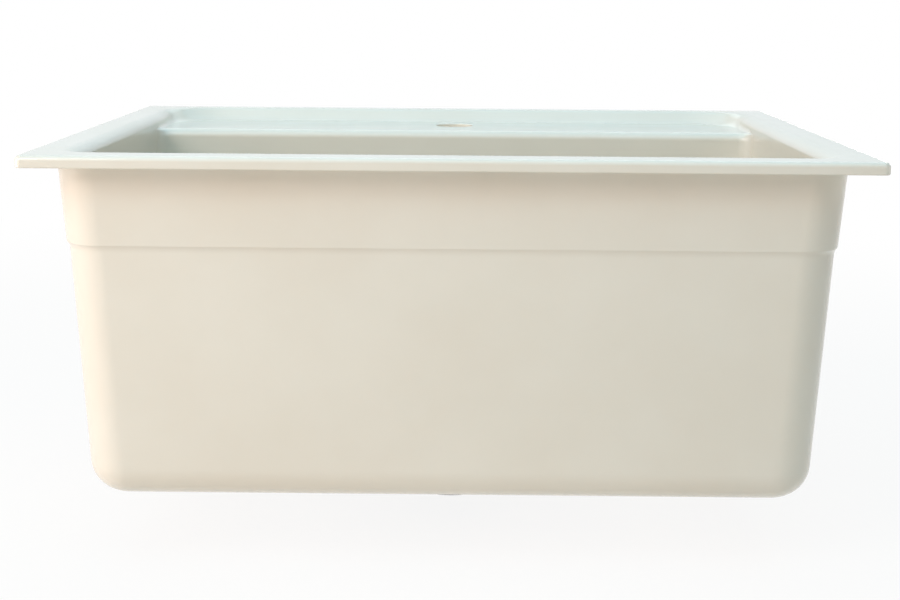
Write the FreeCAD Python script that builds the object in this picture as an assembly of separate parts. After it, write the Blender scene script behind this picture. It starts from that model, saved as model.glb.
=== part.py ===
"""Drop-in kitchen sink with one bowl, a lowered tap deck and a 90 mm basket waste.

All sizes are in millimetres. X runs along the sink's length, Y towards its back and Z upwards.
The origin is the middle of the plane that the rim rests on, which is the top of the worktop.
"""

import FreeCAD, Part
import math
import os

from FreeCAD import Vector

# ---------------------------------------------------------------- rim
RIM_LENGTH = 610.0
RIM_WIDTH = 457.0
RIM_THICK = 9.0
RIM_CORNER_R = 5.0
RIM_TOP_EDGE_R = 4.0
RIM_LOW_EDGE_R = 1.0
RIM_OVERHANG = 18.5          # from the rim's edge in to the outside of the walls
RIM_TO_BOWL = 34.5           # from the rim's edge in to the inside of the bowl
ROLL_WIDTH = 12.0            # the soft roll from the flat rim into the bowl
ROLL_DEPTH = 7.0

# ---------------------------------------------------------------- outside of the walls
WALL_CORNER_R = 32.0
BAND_HEIGHT = 58.0           # thick upper band, under the rim
BAND_DRAFT = 3.3             # degrees
STEP_HEIGHT = 2.8            # sloped step under the band
STEP_INSET = 1.8
STEP_EDGE_R = 0.8
STEP_COVE_R = 10.0
WALL_DRAFT = 2.4             # degrees, under the step
BASE_EDGE_R = 26.0
OUTER_HEIGHT = 262.0         # rim's top to the underside of the base
FLOOR_THICK = 12.0

# ---------------------------------------------------------------- inside of the bowl
BOWL_CORNER_R = 12.0
BOWL_DRAFT = 1.2             # degrees
FLOOR_EDGE_R = 10.0
FALL_R = 120.0               # the floor falls towards the waste inside this radius
FALL_DEPTH = 2.5

# ---------------------------------------------------------------- tap deck
DECK_DROP = 11.5             # below the rim's top
DECK_THICK = 11.0
DECK_FRONT = 334.0           # from the rim's front edge to the deck's front edge
RECESS_BACK_MARGIN = 22.0    # from the rim's back edge to the upstand behind the deck
RECESS_BACK_R = 45.0
DECK_VALLEY_R = 4.0
DECK_FRONT_R = 7.0
DECK_WALL = 16.5             # bowl's back wall, at its top
DECK_LOW_EDGE_R = 4.0
TAP_HOLE_R = 17.5
TAP_HOLE_FROM_FRONT = 396.0
TAP_HOLE_CHAMFER = 0.8

# ---------------------------------------------------------------- waste: flange and seals
WASTE_HOLE_R = 45.0
WASTE_BACK = 9.0             # behind the bowl's middle
FLANGE_R = 57.0
FLANGE_SHEET = 1.2
FLANGE_GAP = 1.5             # round the flange, in its seat
FLANGE_SEAL_THICK = 1.5
FLANGE_SEAL_IN_R = 45.3
CUP_MOUTH_R = 44.5
CUP_THROAT_R = 41.0
CUP_BOTTOM_R = 36.0
CUP_DEPTH = 33.6             # flange's top to the floor of its cup
CUP_LEAD_DEPTH = 3.5         # sloped lead-in that the basket rests on
CUP_HEEL = 3.0
DIMPLE_R = 9.5
DIMPLE_DEPTH = 4.0
DRAIN_SLOTS = 10
DRAIN_SLOT_W = 4.0
DRAIN_SLOT_IN_R = 14.0       # to the middle of the slot's round end
DRAIN_SLOT_OUT_R = 23.0

# ---------------------------------------------------------------- waste: body
GASKET_THICK = 3.5
GASKET_IN_R = 46.0
BODY_FLANGE_R = 54.0
BODY_FLANGE_THICK = 4.0
BODY_R = 50.0
BODY_WALL = 3.0
BODY_FLAT_R = 39.0           # flat of the bottom, inside its sloped edge
BODY_SLOPE_H = 4.4
POST_R = 9.0
POST_HEIGHT = 3.2            # above the body's floor
POST_CAP = 1.8               # closed end of the boss under the insert
POST_GAP = 0.5               # between the dimple and the post under it
POST_RIBS = 4                # set between the outlet and the body's sides
POST_RIB_THICK = 2.5
POST_RIB_DROP = 0.6
INSERT_R = 5.0
INSERT_LENGTH = 8.0
SCREW_R = 3.0
SCREW_FIT = 0.05
SCREW_HOLE_R = 3.4
SCREW_REACH = 7.5            # thread in the insert
SCREW_HEAD_R = 5.5
SCREW_HEAD_H = 3.0
SCREW_SLOT_W = 1.2
SCREW_SLOT_DEPTH = 1.5
WASHER_R = 7.0
WASHER_THICK = 1.0

# ---------------------------------------------------------------- waste: side outlet
OUTLET_RISE = 6.0            # body's bottom to the outlet's axis
TAIL_R = 20.0
TAIL_WALL = 2.0
TAIL_FREE = 43.0             # past the nut
TAIL_SPIGOT_R = 19.7         # sized end that goes into the socket
OUTLET_WALL = 3.5
OUTLET_START = 10.0          # behind the waste's axis
OUTLET_NECK = 5.0            # between the body and the thread
THREAD_R = 23.9
THREAD_LENGTH = 18.0
SOCKET_FIT = 0.3
SOCKET_DEPTH = 14.0
SOCKET_CHAMFER = 2.5
TAIL_END_GAP = 0.5
CONE_FIT = 0.05
CONE_R = 23.6
CONE_LENGTH = 4.0
NUT_FIT = 0.2
NUT_R = 28.0
NUT_LIP = 4.0
NUT_LIP_FIT = 0.5
NUT_COVER = 12.0             # thread inside the nut
NUT_GRIPS = 16
NUT_GRIP_R = 2.4

# ---------------------------------------------------------------- basket
BASKET_SHEET = 0.8
BASKET_RIM_R = 43.4
BASKET_SHOULDER_R = 38.5
BASKET_WALL_TOP_R = 36.0
BASKET_WALL_LOW_R = 31.0
BASKET_FLOOR_R = 29.5
BASKET_SEAT_GAP = 0.3        # over the flange's lead-in
BASKET_SHOULDER_DROP = 2.8
BASKET_HEEL = 1.5
BASKET_HOLE_R = 1.6
BASKET_RINGS = 3             # rings of holes in the floor
BASKET_RING_R = 12.5         # the smallest of them
BASKET_RING_STEP = 6.0
BASKET_RING_HOLES = 10
BASKET_RING_MORE_HOLES = 6   # in each following ring
BASKET_WALL_ROWS = 2
BASKET_WALL_HOLES = 20
BUSH_R = 6.2
BUSH_FIT = 0.05
BUSH_COLLAR_R = 9.0
BUSH_COLLAR = 1.0
BUSH_HEIGHT = 6.0            # above the basket's floor
RING_WIRE_R = 0.7

# ---------------------------------------------------------------- plunger
STEM_R = 3.5
STEM_FIT = 0.08
STEM_THREAD_R = 2.0
STEM_TOP_R = 2.5
STEM_TOP_LENGTH = 7.0
PLUNGER_TRAVEL = 5.5
TRAVEL_GAP = 0.3
STOPPER_R = 30.0
STOPPER_SKIRT_R = 26.0
STOPPER_WEB = 3.0
STOPPER_SEAT_GAP = 0.3
STOPPER_WASHER_R = 12.0
STOPPER_WASHER_THICK = 1.0
STOPPER_NUT_FLATS = 7.0
STOPPER_NUT_THICK = 2.5
STOPPER_NUT_LIFT = 0.8       # over the cup's floor
THREAD_FIT = 0.03
KNOB_GAP = 0.6               # over the bush
KNOB_HEIGHT = 14.0
KNOB_FOOT_R = 6.5
KNOB_WAIST_R = 5.0
KNOB_HEAD_R = 11.0
KNOB_HEAD_H = 5.0
KNOB_FOOT_H = 1.6
KNOB_TAPER = 3.2             # height of the slopes into and out of the waist
KNOB_CROWN_DROP = 0.6        # the domed top, at its middle ring
KNOB_CROWN_R = 8.2
KNOB_FLAT_R = 4.4
KNOB_SIDE_DROP = 1.6

# ---------------------------------------------------------------- worked out from the above
HALF_L = RIM_LENGTH / 2
HALF_W = RIM_WIDTH / 2
BASE_Z = RIM_THICK - OUTER_HEIGHT
FLOOR_Z = BASE_Z + FLOOR_THICK
DECK_Z = RIM_THICK - DECK_DROP
DECK_LOW_Z = DECK_Z - DECK_THICK
DECK_FRONT_Y = DECK_FRONT - HALF_W
BOWL_FRONT_Y = RIM_TO_BOWL - HALF_W
BOWL_SIDE_X = HALF_L - RIM_TO_BOWL
RECESS_BACK_Y = HALF_W - RECESS_BACK_MARGIN
WALL_SIDE_X = HALF_L - RIM_OVERHANG
WALL_FRONT_Y = RIM_OVERHANG - HALF_W
WALL_BACK_Y = DECK_FRONT_Y + DECK_WALL
TAP_HOLE_Y = TAP_HOLE_FROM_FRONT - HALF_W
DRAIN_Y = (BOWL_FRONT_Y + DECK_FRONT_Y) / 2 + WASTE_BACK

SEAT_Z = FLOOR_Z - FALL_DEPTH - FLANGE_SEAL_THICK - FLANGE_SHEET
FLANGE_TOP_Z = SEAT_Z + FLANGE_SEAL_THICK + FLANGE_SHEET
CUP_FLOOR_Z = FLANGE_TOP_Z - CUP_DEPTH
DIMPLE_Z = CUP_FLOOR_Z - DIMPLE_DEPTH
BODY_TOP_Z = BASE_Z - GASKET_THICK
POST_TOP_Z = DIMPLE_Z - FLANGE_SHEET - POST_GAP
BODY_FLOOR_Z = POST_TOP_Z - POST_HEIGHT
BODY_LOW_Z = BODY_FLOOR_Z - BODY_WALL
BOSS_LOW_Z = POST_TOP_Z - INSERT_LENGTH - POST_CAP
OUTLET_Z = BODY_LOW_Z + OUTLET_RISE
OUTLET_BORE_R = TAIL_R - TAIL_WALL
OUTLET_R = OUTLET_BORE_R + OUTLET_WALL
THREAD_Y = DRAIN_Y + BODY_R + OUTLET_NECK
OUTLET_END_Y = THREAD_Y + THREAD_LENGTH
SOCKET_Y = OUTLET_END_Y - SOCKET_DEPTH
SOCKET_R = TAIL_SPIGOT_R + SOCKET_FIT
CONE_END_Y = OUTLET_END_Y + CONE_LENGTH
NUT_END_Y = CONE_END_Y + NUT_LIP

STOPPER_NUT_Z = CUP_FLOOR_Z + STOPPER_NUT_LIFT
STOPPER_WEB_Z = STOPPER_NUT_Z + STOPPER_NUT_THICK
STOPPER_WASHER_Z = STOPPER_WEB_Z + STOPPER_WEB
STEM_SHOULDER_Z = STOPPER_WASHER_Z + STOPPER_WASHER_THICK
BUSH_LOW_Z = STEM_SHOULDER_Z + PLUNGER_TRAVEL + TRAVEL_GAP
BASKET_UNDER_Z = BUSH_LOW_Z + BUSH_COLLAR
BASKET_FLOOR_Z = BASKET_UNDER_Z + BASKET_SHEET
BUSH_TOP_Z = BASKET_FLOOR_Z + BUSH_HEIGHT
KNOB_LOW_Z = BUSH_TOP_Z + KNOB_GAP

OVERLAP = 1.0                # by which a cutting shape passes the face that it cuts
BEZIER_QUARTER = 0.5523      # handle length of a quarter round


# ---------------------------------------------------------------- helpers
def inset(height, degrees):
    """How far a drafted wall of this height moves in."""
    return height * math.tan(math.radians(degrees))


def rounded_wire(x0, x1, y0, y1, front_r, back_r, z):
    """A closed rectangle with round corners, anticlockwise, at height z."""
    corners = (
        (x1 - front_r, y0 + front_r, front_r, 270),
        (x1 - back_r, y1 - back_r, back_r, 0),
        (x0 + back_r, y1 - back_r, back_r, 90),
        (x0 + front_r, y0 + front_r, front_r, 180),
    )
    arcs = []
    for cx, cy, r, start in corners:
        points = []
        for turn in (0, 45, 90):
            angle = math.radians(start + turn)
            points.append(Vector(cx + r * math.cos(angle), cy + r * math.sin(angle), z))
        arcs.append(Part.Arc(*points).toShape())
    edges = []
    for index, arc in enumerate(arcs):
        following = arcs[(index + 1) % len(arcs)]
        edges.append(arc)
        edges.append(Part.LineSegment(arc.lastVertex().Point, following.firstVertex().Point).toShape())
    return Part.Wire(edges)


def prism(wire, height):
    """A straight solid on a closed flat wire."""
    return Part.Face(wire).extrude(Vector(0, 0, height))


def stack(wires):
    """A solid through closed wires, with straight sides between them."""
    return Part.makeLoft(wires, True, True)


def edges_at(shape, z):
    """The edges of a shape that lie in the plane at height z."""
    found = []
    for edge in shape.Edges:
        box = edge.BoundBox
        if abs(box.ZMin - z) < 1e-4 and abs(box.ZMax - z) < 1e-4:
            found.append(edge)
    return found


def quarter_round(width, depth, z):
    """A closed profile that rounds the corner at distance 0 and height z, cut outwards by width."""
    low = z - depth
    curve = Part.BezierCurve()
    curve.setPoles([
        Vector(0, 0, low),
        Vector(0, 0, low + BEZIER_QUARTER * depth),
        Vector(width * (1 - BEZIER_QUARTER), 0, z),
        Vector(width, 0, z),
    ])
    corners = [
        Vector(width, 0, z),
        Vector(width, 0, z + OVERLAP),
        Vector(-OVERLAP, 0, z + OVERLAP),
        Vector(-OVERLAP, 0, low),
        Vector(0, 0, low),
    ]
    edges = [curve.toShape()]
    for start, end in zip(corners, corners[1:]):
        edges.append(Part.LineSegment(start, end).toShape())
    return Part.Face(Part.Wire(edges))


def run_straight(profile, start, direction, length):
    """The profile carried along a straight edge, with its outside on the right of the direction."""
    out = Vector(direction.y, -direction.x, 0)
    piece = profile.copy()
    turn = math.degrees(math.atan2(out.y, out.x))
    piece.rotate(Vector(0, 0, 0), Vector(0, 0, 1), turn)
    piece.translate(start)
    return piece.extrude(direction * length)


def run_corner(profile, centre, radius, start_angle):
    """The profile carried round a quarter corner about its centre."""
    piece = profile.copy()
    piece.translate(Vector(radius, 0, 0))
    piece.rotate(Vector(0, 0, 0), Vector(0, 0, 1), start_angle)
    piece.translate(centre)
    return piece.revolve(centre, Vector(0, 0, 1), 90)


def turned(points, y=None):
    """A solid of revolution about the waste's axis, from its (radius, height) outline."""
    centre = Vector(0, DRAIN_Y if y is None else y, 0)
    outline = [Vector(r, centre.y, z) for r, z in points]
    face = Part.Face(Part.makePolygon(outline + outline[:1]))
    return face.revolve(centre, Vector(0, 0, 1), 360)


def turned_along(points):
    """A solid of revolution about the outlet's axis, from its (radius, Y) outline."""
    outline = [Vector(r, y, OUTLET_Z) for r, y in points]
    face = Part.Face(Part.makePolygon(outline + outline[:1]))
    return face.revolve(Vector(0, 0, OUTLET_Z), Vector(0, 1, 0), 360)


def sheet(points, thick):
    """The closed outline of a sheet whose upper face follows the points, from the rim inwards."""
    under = []
    for index, (r, z) in enumerate(points):
        normals = []
        for first, second in ((index - 1, index), (index, index + 1)):
            if first < 0 or second >= len(points):
                continue
            dr = points[second][0] - points[first][0]
            dz = points[second][1] - points[first][1]
            size = math.hypot(dr, dz)
            normals.append((-dz / size, dr / size))
        nr = sum(normal[0] for normal in normals) / len(normals)
        nz = sum(normal[1] for normal in normals) / len(normals)
        scale = thick / (nr * nr + nz * nz)
        under.append((r + nr * scale, z + nz * scale))
    return list(points) + under[::-1]


def hexagon(flats, z, height):
    """A hexagonal prism on the waste's axis."""
    reach = flats / math.sqrt(3)
    corners = []
    for side in list(range(6)) + [0]:
        angle = math.radians(60 * side)
        corners.append(Vector(reach * math.cos(angle), DRAIN_Y + reach * math.sin(angle), z))
    return prism(Part.makePolygon(corners), height)


def drilled(shape, radius, z, height):
    """The shape with an upright hole on the waste's axis."""
    return shape.cut(Part.makeCylinder(radius, height, Vector(0, DRAIN_Y, z)))


def around_drain(shape, angle):
    """A copy of the shape, turned about the waste's axis."""
    piece = shape.copy()
    piece.rotate(Vector(0, DRAIN_Y, 0), Vector(0, 0, 1), angle)
    return piece


# ---------------------------------------------------------------- basin
def wall_wire(z, moved_in):
    """The outside of the bowl's walls at height z."""
    return rounded_wire(
        moved_in - WALL_SIDE_X,
        WALL_SIDE_X - moved_in,
        WALL_FRONT_Y + moved_in,
        WALL_BACK_Y - moved_in,
        WALL_CORNER_R,
        WALL_CORNER_R,
        z,
    )


def slab_wire(z, moved_in):
    """The outside of the slab under the tap deck at height z, from the sink's middle to its back."""
    return rounded_wire(
        moved_in - WALL_SIDE_X,
        WALL_SIDE_X - moved_in,
        0,
        -WALL_FRONT_Y - moved_in,
        WALL_CORNER_R,
        WALL_CORNER_R,
        z,
    )


def basin_outside():
    """Rim, deck slab, upper band, step and lower walls as one closed block."""
    rim = prism(rounded_wire(-HALF_L, HALF_L, -HALF_W, HALF_W, RIM_CORNER_R, RIM_CORNER_R, 0), RIM_THICK)
    rim = rim.makeFillet(RIM_TOP_EDGE_R, edges_at(rim, RIM_THICK))
    rim = rim.makeFillet(RIM_LOW_EDGE_R, edges_at(rim, 0))

    slab = stack([slab_wire(0, 0), slab_wire(DECK_LOW_Z, inset(-DECK_LOW_Z, BAND_DRAFT))])
    slab = slab.makeFillet(DECK_LOW_EDGE_R, edges_at(slab, DECK_LOW_Z))

    band_in = inset(BAND_HEIGHT, BAND_DRAFT)
    step_z = -BAND_HEIGHT - STEP_HEIGHT
    step_in = band_in + STEP_INSET
    walls = stack([
        wall_wire(0, 0),
        wall_wire(-BAND_HEIGHT, band_in),
        wall_wire(step_z, step_in),
        wall_wire(BASE_Z, step_in + inset(step_z - BASE_Z, WALL_DRAFT)),
    ])
    walls = walls.makeFillet(BASE_EDGE_R, edges_at(walls, BASE_Z))
    walls = walls.makeFillet(STEP_COVE_R, edges_at(walls, step_z))
    walls = walls.makeFillet(STEP_EDGE_R, edges_at(walls, -BAND_HEIGHT))
    return rim.fuse([slab, walls]).removeSplitter()


def bowl_wire(moved_in, z):
    """The inside of the bowl at height z."""
    return rounded_wire(
        moved_in - BOWL_SIDE_X,
        BOWL_SIDE_X - moved_in,
        BOWL_FRONT_Y + moved_in,
        DECK_FRONT_Y - moved_in,
        BOWL_CORNER_R,
        BOWL_CORNER_R,
        z,
    )


def rim_roll():
    """What the soft roll takes off the inner edge of the rim, all round."""
    profile = quarter_round(ROLL_WIDTH, ROLL_DEPTH, RIM_THICK)
    front_r = BOWL_CORNER_R
    back_r = RECESS_BACK_R
    front_x = BOWL_SIDE_X - front_r
    back_x = BOWL_SIDE_X - back_r
    front_y = BOWL_FRONT_Y + front_r
    back_y = RECESS_BACK_Y - back_r
    return [
        run_straight(profile, Vector(-front_x, BOWL_FRONT_Y, 0), Vector(1, 0, 0), 2 * front_x),
        run_corner(profile, Vector(front_x, front_y, 0), front_r, 270),
        run_straight(profile, Vector(BOWL_SIDE_X, front_y, 0), Vector(0, 1, 0), back_y - front_y),
        run_corner(profile, Vector(back_x, back_y, 0), back_r, 0),
        run_straight(profile, Vector(back_x, RECESS_BACK_Y, 0), Vector(-1, 0, 0), 2 * back_x),
        run_corner(profile, Vector(-back_x, back_y, 0), back_r, 90),
        run_straight(profile, Vector(-BOWL_SIDE_X, back_y, 0), Vector(0, -1, 0), back_y - front_y),
        run_corner(profile, Vector(-front_x, front_y, 0), front_r, 180),
    ]


def deck_front_roll():
    """What the round front edge takes off the deck, from side wall to side wall."""
    profile = quarter_round(DECK_FRONT_R, DECK_FRONT_R, DECK_Z)
    straight_x = BOWL_SIDE_X - BOWL_CORNER_R
    corner_y = DECK_FRONT_Y - BOWL_CORNER_R
    pieces = [
        run_straight(profile, Vector(straight_x, DECK_FRONT_Y, 0), Vector(-1, 0, 0), 2 * straight_x),
        run_corner(profile, Vector(straight_x, corner_y, 0), BOWL_CORNER_R, 0),
        run_corner(profile, Vector(-straight_x, corner_y, 0), BOWL_CORNER_R, 90),
    ]
    between_walls = Part.makeBox(
        2 * BOWL_SIDE_X,
        BOWL_CORNER_R + 2 * DECK_FRONT_R,
        DECK_FRONT_R + OVERLAP,
        Vector(-BOWL_SIDE_X, corner_y, DECK_Z - DECK_FRONT_R),
    )
    return [piece.common(between_walls) for piece in pieces]


def basin_inside():
    """The space of bowl and deck recess, with every soft edge, to be cut out of the block."""
    mouth_z = DECK_Z - DECK_FRONT_R
    bowl = stack([bowl_wire(0, mouth_z), bowl_wire(inset(mouth_z - FLOOR_Z, BOWL_DRAFT), FLOOR_Z)])
    bowl = bowl.makeFillet(FLOOR_EDGE_R, edges_at(bowl, FLOOR_Z))
    mouth = prism(bowl_wire(0, mouth_z), RIM_THICK + OVERLAP - mouth_z)
    recess_wire = rounded_wire(
        -BOWL_SIDE_X,
        BOWL_SIDE_X,
        BOWL_FRONT_Y,
        RECESS_BACK_Y,
        BOWL_CORNER_R,
        RECESS_BACK_R,
        DECK_Z,
    )
    recess = prism(recess_wire, DECK_DROP + OVERLAP)
    recess = recess.makeFillet(DECK_VALLEY_R, edges_at(recess, DECK_Z))
    return bowl.fuse([mouth, recess] + rim_roll() + deck_front_roll()).removeSplitter()


def waste_seat():
    """The fall of the floor, the flange's seat and the waste hole, as one turned shape."""
    seat_r = FLANGE_R + FLANGE_GAP
    fall_z = FLOOR_Z - FALL_DEPTH
    return turned([
        (0, FLOOR_Z + OVERLAP),
        (FALL_R, FLOOR_Z + OVERLAP),
        (FALL_R, FLOOR_Z),
        (seat_r, fall_z),
        (seat_r, SEAT_Z),
        (WASTE_HOLE_R, SEAT_Z),
        (WASTE_HOLE_R, BASE_Z - OVERLAP),
        (0, BASE_Z - OVERLAP),
    ])


def tap_hole():
    """The tap hole through the deck, with its broken upper edge."""
    top_r = TAP_HOLE_R + TAP_HOLE_CHAMFER + OVERLAP
    return turned([
        (0, DECK_Z + OVERLAP),
        (top_r, DECK_Z + OVERLAP),
        (TAP_HOLE_R, DECK_Z - TAP_HOLE_CHAMFER),
        (TAP_HOLE_R, DECK_LOW_Z - OVERLAP),
        (0, DECK_LOW_Z - OVERLAP),
    ], TAP_HOLE_Y)


def basin():
    """The cast sink in one piece."""
    return basin_outside().cut([basin_inside(), waste_seat(), tap_hole()])


# ---------------------------------------------------------------- waste
def flange_seal():
    """Flat ring between the flange and its seat."""
    return turned([
        (FLANGE_SEAL_IN_R, SEAT_Z),
        (FLANGE_R - FLANGE_SHEET, SEAT_Z),
        (FLANGE_R - FLANGE_SHEET, SEAT_Z + FLANGE_SEAL_THICK),
        (FLANGE_SEAL_IN_R, SEAT_Z + FLANGE_SEAL_THICK),
    ])


def waste_flange():
    """Pressed flange with its strainer cup, a dimple for the screw and radial drain slots."""
    upper = [
        (FLANGE_R, FLANGE_TOP_Z),
        (CUP_MOUTH_R, FLANGE_TOP_Z),
        (CUP_THROAT_R, FLANGE_TOP_Z - CUP_LEAD_DEPTH),
        (CUP_BOTTOM_R, CUP_FLOOR_Z + CUP_HEEL),
        (CUP_BOTTOM_R - CUP_HEEL, CUP_FLOOR_Z),
        (DIMPLE_R, CUP_FLOOR_Z),
        (DIMPLE_R - FLANGE_SHEET, DIMPLE_Z),
        (SCREW_HOLE_R, DIMPLE_Z),
    ]
    flange = turned(sheet(upper, FLANGE_SHEET))
    slot = Part.makeBox(
        DRAIN_SLOT_OUT_R - DRAIN_SLOT_IN_R,
        DRAIN_SLOT_W,
        FLANGE_SHEET + 2 * OVERLAP,
        Vector(DRAIN_SLOT_IN_R, DRAIN_Y - DRAIN_SLOT_W / 2, CUP_FLOOR_Z - FLANGE_SHEET - OVERLAP),
    )
    ends = []
    for reach in (DRAIN_SLOT_IN_R, DRAIN_SLOT_OUT_R):
        place = Vector(reach, DRAIN_Y, CUP_FLOOR_Z - FLANGE_SHEET - OVERLAP)
        ends.append(Part.makeCylinder(DRAIN_SLOT_W / 2, FLANGE_SHEET + 2 * OVERLAP, place))
    slot = slot.fuse(ends)
    slots = [around_drain(slot, index * 360 / DRAIN_SLOTS) for index in range(DRAIN_SLOTS)]
    return flange.cut(slots)


def screw_washer():
    """Washer in the dimple, under the screw's head."""
    return turned([
        (SCREW_R + SCREW_FIT, DIMPLE_Z),
        (WASHER_R, DIMPLE_Z),
        (WASHER_R, DIMPLE_Z + WASHER_THICK),
        (SCREW_R + SCREW_FIT, DIMPLE_Z + WASHER_THICK),
    ])


def clamp_screw():
    """Screw from the dimple down into the insert."""
    head_z = DIMPLE_Z + WASHER_THICK
    head = Part.makeCylinder(SCREW_HEAD_R, SCREW_HEAD_H, Vector(0, DRAIN_Y, head_z))
    shank_low = POST_TOP_Z - SCREW_REACH
    shank = Part.makeCylinder(SCREW_R, head_z - shank_low, Vector(0, DRAIN_Y, shank_low))
    slot = Part.makeBox(
        2 * SCREW_HEAD_R,
        SCREW_SLOT_W,
        SCREW_SLOT_DEPTH,
        Vector(-SCREW_HEAD_R, DRAIN_Y - SCREW_SLOT_W / 2, head_z + SCREW_HEAD_H - SCREW_SLOT_DEPTH),
    )
    return head.fuse(shank).cut(slot)


def body_gasket():
    """Thick ring between the base and the waste body."""
    return turned([
        (GASKET_IN_R, BODY_TOP_Z),
        (BODY_FLANGE_R, BODY_TOP_Z),
        (BODY_FLANGE_R, BASE_Z),
        (GASKET_IN_R, BASE_Z),
    ])


def body_insert():
    """Threaded insert in the body's centre post."""
    low = POST_TOP_Z - INSERT_LENGTH
    return turned([
        (SCREW_R + SCREW_FIT, low),
        (INSERT_R, low),
        (INSERT_R, POST_TOP_Z),
        (SCREW_R + SCREW_FIT, POST_TOP_Z),
    ])


def along_outlet(radius, start_y, end_y):
    """A round bar on the outlet's axis."""
    return Part.makeCylinder(radius, end_y - start_y, Vector(0, start_y, OUTLET_Z), Vector(0, 1, 0))


def waste_body():
    """Flat round body with a centre post, a boss under it and a side outlet to the back."""
    cup = turned([
        (0, BODY_LOW_Z),
        (BODY_FLAT_R, BODY_LOW_Z),
        (BODY_R, BODY_LOW_Z + BODY_SLOPE_H),
        (BODY_R, BODY_TOP_Z - BODY_FLANGE_THICK),
        (BODY_FLANGE_R, BODY_TOP_Z - BODY_FLANGE_THICK),
        (BODY_FLANGE_R, BODY_TOP_Z),
        (0, BODY_TOP_Z),
    ])
    branch = along_outlet(OUTLET_R, DRAIN_Y + OUTLET_START, THREAD_Y)
    thread = along_outlet(THREAD_R, THREAD_Y, OUTLET_END_Y)
    inside = turned([
        (0, BODY_FLOOR_Z),
        (BODY_FLAT_R - BODY_WALL, BODY_FLOOR_Z),
        (BODY_R - BODY_WALL, BODY_FLOOR_Z + BODY_SLOPE_H),
        (BODY_R - BODY_WALL, BODY_TOP_Z + OVERLAP),
        (0, BODY_TOP_Z + OVERLAP),
    ])
    bore = along_outlet(OUTLET_BORE_R, DRAIN_Y + OUTLET_START + OUTLET_WALL, OUTLET_END_Y)
    socket = along_outlet(SOCKET_R, SOCKET_Y, OUTLET_END_Y)
    mouth = turned_along([
        (0, OUTLET_END_Y - SOCKET_CHAMFER),
        (SOCKET_R, OUTLET_END_Y - SOCKET_CHAMFER),
        (SOCKET_R + SOCKET_CHAMFER, OUTLET_END_Y),
        (SOCKET_R + SOCKET_CHAMFER, OUTLET_END_Y + OVERLAP),
        (0, OUTLET_END_Y + OVERLAP),
    ])
    shell = cup.fuse([branch, thread]).cut([inside, bore, socket, mouth])
    post = Part.makeCylinder(POST_R, POST_TOP_Z - BOSS_LOW_Z, Vector(0, DRAIN_Y, BOSS_LOW_Z))
    rib = Part.makeBox(
        BODY_R - BODY_WALL,
        POST_RIB_THICK,
        POST_TOP_Z - POST_RIB_DROP - BODY_FLOOR_Z,
        Vector(0, DRAIN_Y - POST_RIB_THICK / 2, BODY_FLOOR_Z),
    )
    ribs = [around_drain(rib, (index + 0.5) * 360 / POST_RIBS) for index in range(POST_RIBS)]
    ribs = [piece.cut(bore) for piece in ribs]
    body = shell.fuse([post] + ribs)
    return drilled(body, INSERT_R, POST_TOP_Z - INSERT_LENGTH, INSERT_LENGTH + OVERLAP).removeSplitter()


def outlet_washer():
    """Cone washer between the outlet's mouth and the nut's lip."""
    return turned_along([
        (TAIL_SPIGOT_R + CONE_FIT, OUTLET_END_Y - SOCKET_CHAMFER),
        (SOCKET_R, OUTLET_END_Y - SOCKET_CHAMFER),
        (SOCKET_R + SOCKET_CHAMFER, OUTLET_END_Y),
        (CONE_R, OUTLET_END_Y),
        (CONE_R, CONE_END_Y),
        (TAIL_SPIGOT_R + CONE_FIT, CONE_END_Y),
    ])


def outlet_nut():
    """Coupling nut over the outlet's thread, with finger grips."""
    start = OUTLET_END_Y - NUT_COVER
    ring = turned_along([
        (THREAD_R + NUT_FIT, start),
        (NUT_R, start),
        (NUT_R, NUT_END_Y),
        (TAIL_R + NUT_LIP_FIT, NUT_END_Y),
        (TAIL_R + NUT_LIP_FIT, CONE_END_Y),
        (THREAD_R + NUT_FIT, CONE_END_Y),
    ])
    grips = []
    for index in range(NUT_GRIPS):
        angle = 2 * math.pi * index / NUT_GRIPS
        reach = NUT_R + NUT_GRIP_R / 2
        place = Vector(reach * math.cos(angle), start - OVERLAP, OUTLET_Z + reach * math.sin(angle))
        length = NUT_END_Y - start + 2 * OVERLAP
        grips.append(Part.makeCylinder(NUT_GRIP_R, length, place, Vector(0, 1, 0)))
    return ring.cut(grips)


def outlet_tailpiece():
    """Short pipe in the outlet's socket, for the trap."""
    start = SOCKET_Y + TAIL_END_GAP
    end = NUT_END_Y + TAIL_FREE
    return turned_along([
        (OUTLET_BORE_R, start),
        (TAIL_SPIGOT_R, start),
        (TAIL_SPIGOT_R, NUT_END_Y),
        (TAIL_R, NUT_END_Y),
        (TAIL_R, end),
        (OUTLET_BORE_R, end),
    ])


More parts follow.
